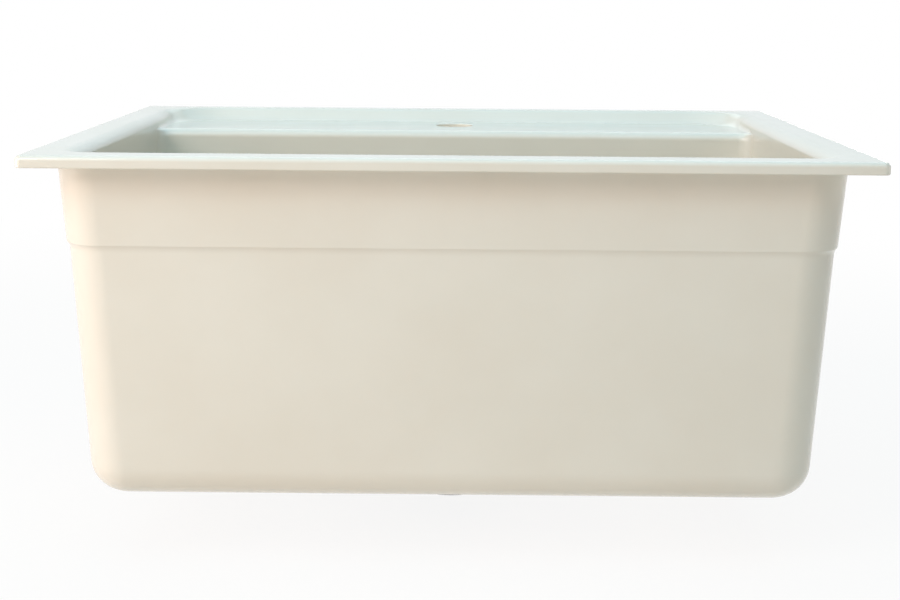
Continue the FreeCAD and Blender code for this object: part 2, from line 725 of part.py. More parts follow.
# ---------------------------------------------------------------- basket
def basket_cup():
    """Perforated lift-out basket, hung by its rim on the flange's lead-in."""
    slope = CUP_LEAD_DEPTH / (CUP_MOUTH_R - CUP_THROAT_R)
    rest_z = FLANGE_TOP_Z - (CUP_MOUTH_R - BASKET_RIM_R) * slope
    rim_z = rest_z + BASKET_SEAT_GAP + BASKET_SHEET
    shoulder_z = rim_z - BASKET_SHOULDER_DROP
    heel_z = BASKET_FLOOR_Z + BASKET_HEEL
    upper = [
        (BASKET_RIM_R, rim_z),
        (BASKET_SHOULDER_R, rim_z),
        (BASKET_WALL_TOP_R, shoulder_z),
        (BASKET_WALL_LOW_R, heel_z),
        (BASKET_FLOOR_R, BASKET_FLOOR_Z),
        (BUSH_R + BUSH_FIT, BASKET_FLOOR_Z),
    ]
    cup = turned(sheet(upper, BASKET_SHEET))
    holes = []
    for ring in range(BASKET_RINGS):
        count = BASKET_RING_HOLES + ring * BASKET_RING_MORE_HOLES
        place = Vector(BASKET_RING_R + ring * BASKET_RING_STEP, DRAIN_Y, BASKET_UNDER_Z - OVERLAP)
        hole = Part.makeCylinder(BASKET_HOLE_R, BASKET_SHEET + 2 * OVERLAP, place)
        holes.extend(around_drain(hole, index * 360 / count) for index in range(count))
    for row in range(BASKET_WALL_ROWS):
        wall_z = heel_z + (row + 1) * (shoulder_z - heel_z) / (BASKET_WALL_ROWS + 1)
        place = Vector(BASKET_FLOOR_R - BASKET_HOLE_R, DRAIN_Y, wall_z)
        hole = Part.makeCylinder(BASKET_HOLE_R, CUP_THROAT_R - BASKET_FLOOR_R, place, Vector(1, 0, 0))
        for index in range(BASKET_WALL_HOLES):
            holes.append(around_drain(hole, (index + row / 2) * 360 / BASKET_WALL_HOLES))
    return cup.cut(holes)


def basket_bush():
    """Guide bush through the basket's floor, with a groove for the O-ring."""
    bore_r = STEM_R + STEM_FIT
    groove_r = bore_r + 2 * RING_WIRE_R
    middle = (BASKET_FLOOR_Z + BUSH_TOP_Z) / 2
    return turned([
        (bore_r, BUSH_LOW_Z),
        (BUSH_COLLAR_R, BUSH_LOW_Z),
        (BUSH_COLLAR_R, BASKET_UNDER_Z),
        (BUSH_R, BASKET_UNDER_Z),
        (BUSH_R, BASKET_FLOOR_Z),
        (BUSH_COLLAR_R, BASKET_FLOOR_Z),
        (BUSH_COLLAR_R, BASKET_FLOOR_Z + BUSH_COLLAR),
        (BUSH_R, BASKET_FLOOR_Z + BUSH_COLLAR),
        (BUSH_R, BUSH_TOP_Z),
        (bore_r, BUSH_TOP_Z),
        (bore_r, middle + RING_WIRE_R),
        (groove_r, middle + RING_WIRE_R),
        (groove_r, middle - RING_WIRE_R),
        (bore_r, middle - RING_WIRE_R),
    ])


def stem_ring():
    """O-ring in the bush's groove."""
    middle = (BASKET_FLOOR_Z + BUSH_TOP_Z) / 2
    centre_r = STEM_R + STEM_FIT + RING_WIRE_R
    return Part.makeTorus(centre_r, RING_WIRE_R, Vector(0, DRAIN_Y, middle))


def basket_stem():
    """Rod with a threaded foot for the stopper and a threaded head for the knob."""
    foot_z = STOPPER_NUT_Z
    return turned([
        (0, foot_z),
        (STEM_THREAD_R, foot_z),
        (STEM_THREAD_R, STEM_SHOULDER_Z),
        (STEM_R, STEM_SHOULDER_Z),
        (STEM_R, KNOB_LOW_Z),
        (STEM_TOP_R, KNOB_LOW_Z),
        (STEM_TOP_R, KNOB_LOW_Z + STEM_TOP_LENGTH),
        (0, KNOB_LOW_Z + STEM_TOP_LENGTH),
    ])


def basket_knob():
    """Turned knob with a waist and a domed head."""
    top = KNOB_LOW_Z + KNOB_HEIGHT
    head_low = top - KNOB_HEAD_H - KNOB_SIDE_DROP
    socket_r = STEM_TOP_R + THREAD_FIT
    return turned([
        (0, KNOB_LOW_Z + STEM_TOP_LENGTH),
        (socket_r, KNOB_LOW_Z + STEM_TOP_LENGTH),
        (socket_r, KNOB_LOW_Z),
        (KNOB_FOOT_R, KNOB_LOW_Z),
        (KNOB_FOOT_R, KNOB_LOW_Z + KNOB_FOOT_H),
        (KNOB_WAIST_R, KNOB_LOW_Z + KNOB_FOOT_H + KNOB_TAPER),
        (KNOB_WAIST_R, head_low),
        (KNOB_HEAD_R, head_low + KNOB_TAPER),
        (KNOB_HEAD_R, top - KNOB_SIDE_DROP),
        (KNOB_CROWN_R, top - KNOB_CROWN_DROP),
        (KNOB_FLAT_R, top),
        (0, top),
    ])


def stopper_washer():
    """Backing washer between the stem's shoulder and the stopper."""
    return turned([
        (STEM_THREAD_R + THREAD_FIT, STOPPER_WASHER_Z),
        (STOPPER_WASHER_R, STOPPER_WASHER_Z),
        (STOPPER_WASHER_R, STEM_SHOULDER_Z),
        (STEM_THREAD_R + THREAD_FIT, STEM_SHOULDER_Z),
    ])


def stopper_seal():
    """Rubber stopper: a web with a skirt that closes on the cup's floor, outside the slots."""
    skirt_z = CUP_FLOOR_Z + STOPPER_SEAT_GAP
    return turned([
        (STEM_THREAD_R + THREAD_FIT, STOPPER_WEB_Z),
        (STOPPER_SKIRT_R, STOPPER_WEB_Z),
        (STOPPER_SKIRT_R + STOPPER_SEAT_GAP, skirt_z),
        (STOPPER_R, skirt_z),
        (STOPPER_R, STOPPER_WEB_Z),
        (STOPPER_SKIRT_R, STOPPER_WASHER_Z),
        (STEM_THREAD_R + THREAD_FIT, STOPPER_WASHER_Z),
    ])


def stopper_nut():
    """Nut that holds washer and stopper on the stem's foot."""
    nut = hexagon(STOPPER_NUT_FLATS, STOPPER_NUT_Z, STOPPER_NUT_THICK)
    return drilled(nut, STEM_THREAD_R + THREAD_FIT, STOPPER_NUT_Z - OVERLAP, STOPPER_NUT_THICK + 2 * OVERLAP)


PIECES = (
    basin,
    flange_seal,
    waste_flange,
    screw_washer,
    clamp_screw,
    body_gasket,
    body_insert,
    waste_body,
    outlet_washer,
    outlet_nut,
    outlet_tailpiece,
    basket_cup,
    basket_bush,
    stem_ring,
    basket_stem,
    basket_knob,
    stopper_washer,
    stopper_seal,
    stopper_nut,
)


def main():
    """Write one STEP file for each piece, named after it."""
    os.makedirs("parts", exist_ok=True)
    for piece in PIECES:
        shape = piece()
        solids = shape.Solids
        assert shape.isValid(), piece.__name__
        print(piece.__name__, len(solids), round(shape.Volume, 1))
        shape.exportStep("parts/" + piece.__name__ + ".step")


main()
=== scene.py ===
"""Drop-in kitchen sink with a lowered tap deck and a 90 mm basket waste, in a plain studio.

Lengths are written in millimetres and become metres where a mesh is made. X runs along the sink,
Y towards its back and Z upwards. Height 0 is the top of the worktop that carries the rim.
"""

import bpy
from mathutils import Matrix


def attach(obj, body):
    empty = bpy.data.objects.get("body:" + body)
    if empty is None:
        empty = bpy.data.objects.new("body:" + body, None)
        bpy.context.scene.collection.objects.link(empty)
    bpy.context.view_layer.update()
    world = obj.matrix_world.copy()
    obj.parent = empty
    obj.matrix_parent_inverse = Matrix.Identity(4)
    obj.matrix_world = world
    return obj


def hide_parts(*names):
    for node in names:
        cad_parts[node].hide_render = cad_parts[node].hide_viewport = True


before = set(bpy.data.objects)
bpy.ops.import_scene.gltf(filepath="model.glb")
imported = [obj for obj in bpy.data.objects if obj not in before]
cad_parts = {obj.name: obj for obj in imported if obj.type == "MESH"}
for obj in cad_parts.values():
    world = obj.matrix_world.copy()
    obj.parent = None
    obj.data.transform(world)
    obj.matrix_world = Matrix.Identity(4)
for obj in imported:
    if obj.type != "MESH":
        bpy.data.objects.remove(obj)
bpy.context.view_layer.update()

import logging
import math
from collections.abc import Sequence
from dataclasses import dataclass
from enum import Enum
from typing import ClassVar

import bmesh
import bpy
from mathutils import Matrix, Vector

log = logging.getLogger("sink")

MM = 0.001
SAME_SPOT = 2e-6  # metres within which points are one
Flat = tuple[float, float]
Spot = tuple[float, float, float]
Colour = tuple[float, float, float]


def linear_level(level: int) -> float:
    """The linear share of one screen level from 0 to 255."""
    share = level / 255
    return share / 12.92 if share <= 0.04045 else ((share + 0.055) / 1.055) ** 2.4


def linear(red: int, green: int, blue: int) -> Colour:
    """The linear colour of a screen colour given as 0 to 255."""
    return (linear_level(red), linear_level(green), linear_level(blue))


# ---------------------------------------------------------------- lines and outlines
def rounded_line(corners: Sequence[Spot], steps: int = 6) -> list[Flat]:
    """Round the corners of a line in a plane.

    Args:
        corners: Across, up and radius of each corner. A radius of 0 keeps the corner sharp.
        steps: Straight pieces in each rounded corner.

    Returns:
        The points of the rounded line.
    """
    line: list[Flat] = []
    for index, (across, up, radius) in enumerate(corners):
        if radius <= 0 or index in (0, len(corners) - 1):
            line.append((across, up))
            continue
        here = Vector((across, up, 0))
        back = (Vector((*corners[index - 1][:2], 0)) - here).normalized()
        ahead = (Vector((*corners[index + 1][:2], 0)) - here).normalized()
        half = back.angle(ahead) / 2
        middle = here + (back + ahead).normalized() * (radius / math.sin(half))
        start = (here + back * (radius / math.tan(half)) - middle).normalized()
        end = (here + ahead * (radius / math.tan(half)) - middle).normalized()
        for step in range(steps + 1):
            point = middle + start.slerp(end, step / steps) * radius
            line.append((point.x, point.y))
    return line


def spread(start: float, end: float, pieces: int) -> list[float]:
    """Evenly spaced values from start to end, both included."""
    return [start + (end - start) * step / pieces for step in range(pieces + 1)]


@dataclass(frozen=True)
class Outline:
    """A rectangle with round corners, seen from above and even about the sink's middle.

    Its line is cut in two at split_y on both sides, so that front and back can differ.
    """

    half_x: float
    front_y: float
    back_y: float
    front_r: float
    back_r: float

    SIDE_PIECES: ClassVar[int] = 10
    CORNER_PIECES: ClassVar[int] = 16
    LONG_PIECES: ClassVar[int] = 24

    def moved_in(self, distance: float, tighter: float = 0.0) -> "Outline":
        """Move every side inwards.

        Args:
            distance: How far the sides move with the corners' radii kept.
            tighter: How far they move with the radii made smaller by as much, as an offset does.

        Returns:
            The new outline.
        """
        total = distance + tighter
        return Outline(
            self.half_x - total,
            self.front_y + total,
            self.back_y - total,
            self.front_r - tighter,
            self.back_r - tighter,
        )

    def front(self, split_y: float) -> list[Flat]:
        """The line from the left side at split_y round the front to the right side at split_y."""
        corner_y = self.front_y + self.front_r
        corner_x = self.half_x - self.front_r
        right = []
        for angle in spread(-90, 0, self.CORNER_PIECES):
            turn = math.radians(angle)
            right.append((corner_x + self.front_r * math.cos(turn), corner_y + self.front_r * math.sin(turn)))
        right += [(self.half_x, y) for y in spread(corner_y, split_y, self.SIDE_PIECES)[1:]]
        left = [(-x, y) for x, y in reversed(right)]
        middle = [(x, self.front_y) for x in spread(-corner_x, corner_x, self.LONG_PIECES)[1:-1]]
        return left + middle + right

    def back(self, stops: Sequence[float], turns: Sequence[float] = ()) -> list[Flat]:
        """The line from the right side round the back to the left side.

        Args:
            stops: Places in Y on the straight side, from the split to the corner.
            turns: Angles in degrees of the corner's further points; even steps where it is empty.

        Returns:
            The line's points.
        """
        corner_y = self.back_y - self.back_r
        corner_x = self.half_x - self.back_r
        right = [(self.half_x, y) for y in stops]
        for angle in turns or spread(0, 90, self.CORNER_PIECES)[1:]:
            turn = math.radians(angle)
            right.append((corner_x + self.back_r * math.cos(turn), corner_y + self.back_r * math.sin(turn)))
        middle = [(x, self.back_y) for x in spread(corner_x, -corner_x, self.LONG_PIECES)[1:-1]]
        return right + middle + [(-x, y) for x, y in reversed(right)]


# ---------------------------------------------------------------- meshes
class Skin:
    """A closed surface that is gathered strip by strip, welded and given soft, even normals."""

    def __init__(self) -> None:
        """Start an empty surface."""
        self.bm = bmesh.new()

    def sheet(self, rows: Sequence[Sequence[Spot]], ring: bool = False) -> None:
        """Add a strip of four-sided faces.

        Args:
            rows: Lines of points in millimetres, all with the same count.
            ring: True where each line closes on itself.
        """
        made = [[self.bm.verts.new((x * MM, y * MM, z * MM)) for x, y, z in row] for row in rows]
        count = len(rows[0])
        last = count if ring else count - 1
        for low, high in zip(made, made[1:]):
            for index in range(last):
                following = (index + 1) % count
                self.bm.faces.new((low[index], low[following], high[following], high[index]))

    def turned(self, line: Sequence[Flat], centre: Flat = (0.0, 0.0), pieces: int = 64) -> None:
        """Add a line of (radius, height) points turned about an upright axis.

        Args:
            line: The line's points.
            centre: The axis's place in X and Y.
            pieces: Faces round the axis.
        """
        rows = []
        for radius, z in line:
            row = []
            for index in range(pieces):
                turn = 2 * math.pi * index / pieces
                row.append((centre[0] + radius * math.cos(turn), centre[1] + radius * math.sin(turn), z))
            rows.append(row)
        self.sheet(rows, ring=True)

    def weld(self) -> None:
        """Join the points of neighbouring strips."""
        bmesh.ops.remove_doubles(self.bm, verts=self.bm.verts, dist=SAME_SPOT)

    def fill(self, z: float) -> None:
        """Close the flat opening between the open edges at height z."""
        edges = []
        for edge in self.bm.edges:
            if edge.is_boundary and all(abs(vert.co.z - z * MM) < SAME_SPOT for vert in edge.verts):
                edges.append(edge)
        bmesh.ops.triangle_fill(self.bm, use_beauty=True, edges=edges)

    def open_edges(self) -> int:
        """How many edges still have one face only."""
        return sum(edge.is_boundary or not edge.is_manifold for edge in self.bm.edges)

    def piece(self, name: str, even: bool = True) -> bpy.types.Object:
        """Turn the surface into an object.

        Args:
            name: The object's name.
            even: True where its normals are to follow its larger faces.

        Returns:
            The object, in the scene.
        """
        self.weld()
        bmesh.ops.recalc_face_normals(self.bm, faces=self.bm.faces)
        if self.open_edges():
            log.warning("%s has %d open edges", name, self.open_edges())
        normals = []
        for vert in self.bm.verts:
            total = Vector()
            for face in vert.link_faces:
                total += face.normal * face.calc_area()
            normals.append(total.normalized())
        mesh = bpy.data.meshes.new(name)
        self.bm.to_mesh(mesh)
        self.bm.free()
        mesh.shade_smooth()
        if even:
            mesh.normals_split_custom_set_from_vertices(normals)
        made = bpy.data.objects.new(name, mesh)
        bpy.context.scene.collection.objects.link(made)
        return made


# ---------------------------------------------------------------- finishes
class Nodes:
    """Short ways to place and join the nodes of one tree."""

    def __init__(self, tree: bpy.types.NodeTree) -> None:
        """Work on a node tree."""
        self.tree = tree

    def add(self, kind: str, links: dict[str | int, object] | None = None, **settings: object) -> bpy.types.Node:
        """Place a node.

        Args:
            kind: The node's type.
            links: For each input, an output socket to join or a value to set.
            settings: The node's own settings.

        Returns:
            The node.
        """
        node = self.tree.nodes.new(kind)
        for name, value in settings.items():
            setattr(node, name, value)
        for name, value in (links or {}).items():
            if isinstance(value, bpy.types.NodeSocket):
                self.tree.links.new(value, node.inputs[name])
            else:
                node.inputs[name].default_value = value
        return node


def shader_group(name: str, inputs: dict[str, float], outputs: dict[str, str]) -> tuple[bpy.types.NodeTree, Nodes,
                                                                                        bpy.types.Node]:
    """Start a shared shader group.

    Args:
        name: The group's name.
        inputs: Its number inputs and their usual values.
        outputs: Its outputs and their socket types.

    Returns:
        The group, its node helper and its input node.
    """
    tree = bpy.data.node_groups.new(name, "ShaderNodeTree")
    for label, value in inputs.items():
        socket = tree.interface.new_socket(label, in_out="INPUT", socket_type="NodeSocketFloat")
        socket.default_value = value
    for label, kind in outputs.items():
        tree.interface.new_socket(label, in_out="OUTPUT", socket_type=kind)
    nodes = Nodes(tree)
    return tree, nodes, nodes.add("NodeGroupInput")


class SharedEffects:
    """The shader groups that several finishes use."""

    def __init__(self) -> None:
        """Build each group once."""
        self.clouding = self._clouding()
        self.pores = self._pores()
        self.turning = self._turning()

    @staticmethod
    def _clouding() -> bpy.types.NodeTree:
        """Slow uneven patches, as a mask from 0 to 1."""
        tree, nodes, given = shader_group(
            "clouding", {"Scale": 12.0, "Detail": 3.0}, {"Mask": "NodeSocketFloat"})
        place = nodes.add("ShaderNodeTexCoord")
        noise = nodes.add("ShaderNodeTexNoise", {
            "Vector": place.outputs["Object"], "Scale": given.outputs["Scale"],
            "Detail": given.outputs["Detail"], "Roughness": 0.55})
        ramp = nodes.add("ShaderNodeMapRange", {
            "Value": noise.outputs["Fac"], "From Min": 0.3, "From Max": 0.7}, interpolation_type="SMOOTHSTEP")
        nodes.add("NodeGroupOutput", {"Mask": ramp.outputs["Result"]})
        return tree

    @staticmethod
    def _pores() -> bpy.types.NodeTree:
        """A fine skin on a slow ripple, as a height."""
        tree, nodes, given = shader_group(
            "pores", {"Scale": 700.0, "Ripple Scale": 60.0, "Ripple": 0.5}, {"Height": "NodeSocketFloat"})
        place = nodes.add("ShaderNodeTexCoord")
        fine = nodes.add("ShaderNodeTexNoise", {
            "Vector": place.outputs["Object"], "Scale": given.outputs["Scale"], "Detail": 2.0})
        slow = nodes.add("ShaderNodeTexNoise", {
            "Vector": place.outputs["Object"], "Scale": given.outputs["Ripple Scale"], "Detail": 1.0})
        ripple = nodes.add("ShaderNodeMath", {0: slow.outputs["Fac"], 1: given.outputs["Ripple"]},
                           operation="MULTIPLY")
        height = nodes.add("ShaderNodeMath", {0: fine.outputs["Fac"], 1: ripple.outputs[0]}, operation="ADD")
        nodes.add("NodeGroupOutput", {"Height": height.outputs[0]})
        return tree

    @staticmethod
    def _turning() -> bpy.types.NodeTree:
        """Fine rings round an upright axis, as turning or polishing leaves them."""
        tree, nodes, given = shader_group(
            "turning", {"Axis X": 0.0, "Axis Y": 0.0, "Rings": 1400.0, "Around": 6.0},
            {"Height": "NodeSocketFloat"})
        place = nodes.add("ShaderNodeTexCoord")
        axis = nodes.add("ShaderNodeCombineXYZ", {
            "X": given.outputs["Axis X"], "Y": given.outputs["Axis Y"], "Z": 0.0})
        local = nodes.add("ShaderNodeVectorMath", {
            0: place.outputs["Object"], 1: axis.outputs["Vector"]}, operation="SUBTRACT")
        parts = nodes.add("ShaderNodeSeparateXYZ", {0: local.outputs["Vector"]})
        flat = nodes.add("ShaderNodeCombineXYZ", {"X": parts.outputs["X"], "Y": parts.outputs["Y"], "Z": 0.0})
        radius = nodes.add("ShaderNodeVectorMath", {0: flat.outputs["Vector"]}, operation="LENGTH")
        reach = nodes.add("ShaderNodeMath", {0: radius.outputs["Value"], 1: parts.outputs["Z"]}, operation="ADD")
        rings = nodes.add("ShaderNodeMath", {0: reach.outputs[0], 1: given.outputs["Rings"]},
                          operation="MULTIPLY")
        unit = nodes.add("ShaderNodeVectorMath", {0: flat.outputs["Vector"]}, operation="NORMALIZE")
        around = nodes.add("ShaderNodeVectorMath", {
            0: unit.outputs["Vector"], 3: given.outputs["Around"]}, operation="SCALE")
        around_parts = nodes.add("ShaderNodeSeparateXYZ", {0: around.outputs["Vector"]})
        spot = nodes.add("ShaderNodeCombineXYZ", {
            "X": rings.outputs[0], "Y": around_parts.outputs["X"], "Z": around_parts.outputs["Y"]})
        noise = nodes.add("ShaderNodeTexNoise", {"Vector": spot.outputs["Vector"], "Scale": 1.0, "Detail": 2.0})
        nodes.add("NodeGroupOutput", {"Height": noise.outputs["Fac"]})
        return tree


@dataclass(frozen=True)
class Finish:
    """What every finish has: a colour, a second shade for its uneven patches and a gloss."""

    name: str
    colour: Colour
    shade: Colour
    gloss_low: float
    gloss_high: float

    def start(self, effects: SharedEffects, cloud_scale: float) -> tuple[bpy.types.Material, Nodes,
                                                                         bpy.types.Node]:
        """Start the material with its clouded colour and roughness.

        Args:
            effects: The shared shader groups.
            cloud_scale: How many patches there are to a metre.

        Returns:
            The material, its node helper and its surface shader.
        """
        material = bpy.data.materials.new(self.name)
        material.use_nodes = True
        material.node_tree.nodes.clear()
        nodes = Nodes(material.node_tree)
        cloud = nodes.add("ShaderNodeGroup", node_tree=effects.clouding)
        cloud.inputs["Scale"].default_value = cloud_scale
        mix = nodes.add("ShaderNodeMix", {"Factor": cloud.outputs["Mask"]}, data_type="RGBA")
        mix.inputs[6].default_value = (*self.colour, 1.0)
        mix.inputs[7].default_value = (*self.shade, 1.0)
        rough = nodes.add("ShaderNodeMapRange", {
            "Value": cloud.outputs["Mask"], "To Min": self.gloss_low, "To Max": self.gloss_high})
        surface = nodes.add("ShaderNodeBsdfPrincipled", {
            "Base Color": mix.outputs[2], "Roughness": rough.outputs["Result"]})
        nodes.add("ShaderNodeOutputMaterial", {"Surface": surface.outputs["BSDF"]})
        return material, nodes, surface


@dataclass(frozen=True)
class CastComposite(Finish):
    """Cast mineral composite with a polished gel surface."""

    def material(self, effects: SharedEffects) -> bpy.types.Material:
        """Build the material from the shared effects."""
        material, nodes, surface = self.start(effects, 9.0)
        skin = nodes.add("ShaderNodeGroup", node_tree=effects.pores)
        skin.inputs["Scale"].default_value = 900.0
        skin.inputs["Ripple Scale"].default_value = 22.0
        skin.inputs["Ripple"].default_value = 9.0
        bump = nodes.add("ShaderNodeBump", {
            "Height": skin.outputs["Height"], "Strength": 0.05, "Distance": 0.0004})
        nodes.tree.links.new(bump.outputs["Normal"], surface.inputs["Normal"])
        surface.inputs["IOR"].default_value = 1.5
        surface.inputs["Coat Weight"].default_value = 0.35
        surface.inputs["Coat Roughness"].default_value = 0.08
        surface.inputs["Coat IOR"].default_value = 1.5
        return material


@dataclass(frozen=True)
class WorkedMetal(Finish):
    """Bare or plated metal, with the fine rings of turning or polishing."""

    axis: Flat = (0.0, 0.0)
    rings: float = 1400.0
    depth: float = 0.15

    def material(self, effects: SharedEffects) -> bpy.types.Material:
        """Build the material from the shared effects."""
        material, nodes, surface = self.start(effects, 60.0)
        lines = nodes.add("ShaderNodeGroup", node_tree=effects.turning)
        lines.inputs["Axis X"].default_value = self.axis[0] * MM
        lines.inputs["Axis Y"].default_value = self.axis[1] * MM
        lines.inputs["Rings"].default_value = self.rings
        bump = nodes.add("ShaderNodeBump", {
            "Height": lines.outputs["Height"], "Strength": self.depth, "Distance": 0.0002})
        nodes.tree.links.new(bump.outputs["Normal"], surface.inputs["Normal"])
        surface.inputs["Metallic"].default_value = 1.0
        return material


@dataclass(frozen=True)
class Moulded(Finish):
    """Moulded plastic or rubber with a fine grained skin."""

    grain: float = 1500.0
    depth: float = 0.1
    sheen: float = 0.0

    def material(self, effects: SharedEffects) -> bpy.types.Material:
        """Build the material from the shared effects."""
        material, nodes, surface = self.start(effects, 45.0)
        skin = nodes.add("ShaderNodeGroup", node_tree=effects.pores)
        skin.inputs["Scale"].default_value = self.grain
        bump = nodes.add("ShaderNodeBump", {
            "Height": skin.outputs["Height"], "Strength": self.depth, "Distance": 0.0002})
        nodes.tree.links.new(bump.outputs["Normal"], surface.inputs["Normal"])
        surface.inputs["Sheen Weight"].default_value = self.sheen
        return material


DRAIN = (0.0, -35.25)

CREAM = CastComposite("cast_composite", linear(232, 224, 210), linear(229, 220, 205), 0.2, 0.27)
PRESSED = WorkedMetal("pressed_steel", linear(174, 174, 172), linear(162, 162, 161), 0.2, 0.3, DRAIN)
TURNED = WorkedMetal("steel_fastener", linear(166, 166, 164), linear(148, 149, 148), 0.22, 0.34, DRAIN, 2600.0)
CHROME = WorkedMetal("knob_chrome", linear(224, 226, 228), linear(216, 218, 221), 0.05, 0.09, DRAIN, 900.0, 0.04)
BRASS = WorkedMetal("insert_brass", linear(206, 170, 98), linear(184, 146, 78), 0.22, 0.35, DRAIN, 2600.0)
BLACK_PLASTIC = Moulded("waste_plastic", linear(40, 41, 42), linear(33, 34, 35), 0.36, 0.48)
PIPE_PLASTIC = Moulded("pipe_plastic", linear(58, 59, 61), linear(50, 51, 53), 0.34, 0.44)
BUSH_PLASTIC = Moulded("bush_plastic", linear(216, 215, 208), linear(206, 205, 197), 0.4, 0.5)
GREY_RUBBER = Moulded("grey_rubber", linear(110, 111, 110), linear(96, 97, 96), 0.6, 0.75, 900.0, 0.2, 0.1)
BLACK_RUBBER = Moulded("black_rubber", linear(36, 36, 36), linear(28, 28, 28), 0.5, 0.68, 900.0, 0.2, 0.1)
FINISHES = (CREAM, PRESSED, TURNED, CHROME, BRASS, BLACK_PLASTIC, PIPE_PLASTIC, BUSH_PLASTIC, GREY_RUBBER,
            BLACK_RUBBER)


# ---------------------------------------------------------------- basin
@dataclass(frozen=True)
class Basin:
    """The cast sink in one piece: rim, tap deck, bowl, stepped band and base."""

    half_x: float = 305.0
    half_y: float = 228.5
    rim_z: float = 9.0
    rim_corner_r: float = 5.0
    rim_top_r: float = 4.0
    rim_low_r: float = 1.0
    wall_x: float = 286.5
    wall_front_y: float = -210.0
    wall_back_y: float = 122.0
    wall_corner_r: float = 32.0
    root_r: float = 1.2
    band_z: float = -58.0
    band_draft: float = 3.3
    step_z: float = -60.8
    step_in: float = 1.8
    step_edge_r: float = 0.8
    step_cove_r: float = 10.0
    wall_draft: float = 2.4
    base_z: float = -253.0
    base_edge_r: float = 26.0
    bowl_x: float = 270.5
    bowl_front_y: float = -194.0
    bowl_back_y: float = 105.5
    bowl_corner_r: float = 12.0
    bowl_draft: float = 1.2
    floor_z: float = -241.0
    floor_edge_r: float = 10.0
    fall_r: float = 120.0
    fall_z: float = -243.5
    seat_r: float = 58.5
    seat_z: float = -246.2
    hole_r: float = 45.0
    lip_r: float = 0.8
    roll_width: float = 12.0
    roll_depth: float = 7.0
    recess_back_y: float = 206.5
    recess_back_r: float = 45.0
    deck_z: float = -2.5
    valley_r: float = 4.0
    deck_front_r: float = 7.0
    tip_length: float = 17.23
    deck_low_z: float = -13.5
    deck_low_r: float = 4.0
    slab_back_y: float = 210.0
    slab_tip_length: float = 24.0
    tap_y: float = 167.5
    tap_r: float = 17.5
    tap_lip_r: float = 1.2
    tips: int = 10
    blend: int = 12
    rows: int = 8

    def _at(self, line: Sequence[Flat], z: float) -> list[Spot]:
        """A flat line at one height."""
        return [(x, y, z) for x, y in line]

    def _rim(self, skin: Skin) -> None:
        """The rim's edge, from its flat top round to its underside."""
        outline = Outline(self.half_x, -self.half_y, self.half_y, self.rim_corner_r, self.rim_corner_r)
        profile = rounded_line([
            (self.rim_top_r + 1, self.rim_z, 0),
            (0, self.rim_z, self.rim_top_r),
            (0, 0, self.rim_low_r),
            (self.rim_low_r + 1, 0, 0),
        ], self.rows)[1:-1]
        rows = []
        for inwards, z in profile:
            ring = outline.moved_in(0, inwards)
            corner_y = ring.back_y - ring.back_r
            line = ring.front(0) + ring.back(spread(0, corner_y, 6))[1:-1]
            rows.append(self._at(line, z))
        skin.sheet(rows, ring=True)

    def _recess(self) -> Outline:
        """The wall round bowl and tap deck together."""
        return Outline(self.bowl_x, self.bowl_front_y, self.recess_back_y, self.bowl_corner_r, self.recess_back_r)

    def _bowl(self) -> Outline:
        """The bowl's own wall, under the deck's front edge."""
        return Outline(self.bowl_x, self.bowl_front_y, self.bowl_back_y, self.bowl_corner_r, self.bowl_corner_r)

    def _split_y(self) -> float:
        """Where the deck's narrow tips end on the side walls."""
        return self.bowl_back_y - self.bowl_corner_r

    def _stops(self) -> list[float]:
        """Places along the side wall from the deck's tip to the recess's back corner."""
        split_y = self._split_y()
        tips = spread(split_y, split_y + self.tip_length, self.tips)
        return tips + spread(tips[-1], self.recess_back_y - self.recess_back_r, 4)[1:]

    def _ridge(self, share: float) -> tuple[float, float, float]:
        """How the deck's edge lies at a share of its tip.

        Args:
            share: 0 at the tip's end and 1 where the deck has its full width.

        Returns:
            Radius of the valley, angle of the bowl's corner in degrees and width of the front roll.
        """
        valley = self.valley_r * share * share
        across = self.bowl_corner_r - valley
        along = self.tip_length * share
        return valley, math.degrees(math.atan2(along, across)), math.hypot(across, along) - self.bowl_corner_r

    def _columns(self) -> tuple[list[float], list[float], list[float]]:
        """What the deck's columns have, from the right tip to the left one.

        Returns:
            Valley radii on the recess's line, corner angles on the bowl's line and roll widths on it.
        """
        tips = [self._ridge(index / self.tips) for index in range(self.tips + 1)]
        valleys = [valley for valley, _, _ in tips]
        turns = [turn for _, turn, _ in tips]
        widths = [width for _, _, width in tips]
        turns += spread(turns[-1], 90, 5)[1:]
        widths += [self.deck_front_r] * 5
        return valleys, turns, widths

    def _roll_and_walls(self, skin: Skin) -> None:
        """The soft roll from the rim to the bowl's front walls, and the upstand behind them."""
        recess = self._recess()
        split_y = self._split_y()
        front_rows = []
        for angle in spread(0, 90, self.rows):
            turn = math.radians(angle)
            ring = recess.moved_in(0, -self.roll_width * (1 - math.sin(turn)))
            front_rows.append(self._at(ring.front(split_y), self.rim_z - self.roll_depth * (1 - math.cos(turn))))
        for angle in spread(0, 90, self.rows):
            z = self.deck_z - self.deck_front_r * (1 - math.cos(math.radians(angle)))
            front_rows.append(self._at(recess.front(split_y), z))
        skin.sheet(front_rows)
        self._upstand(skin, recess)

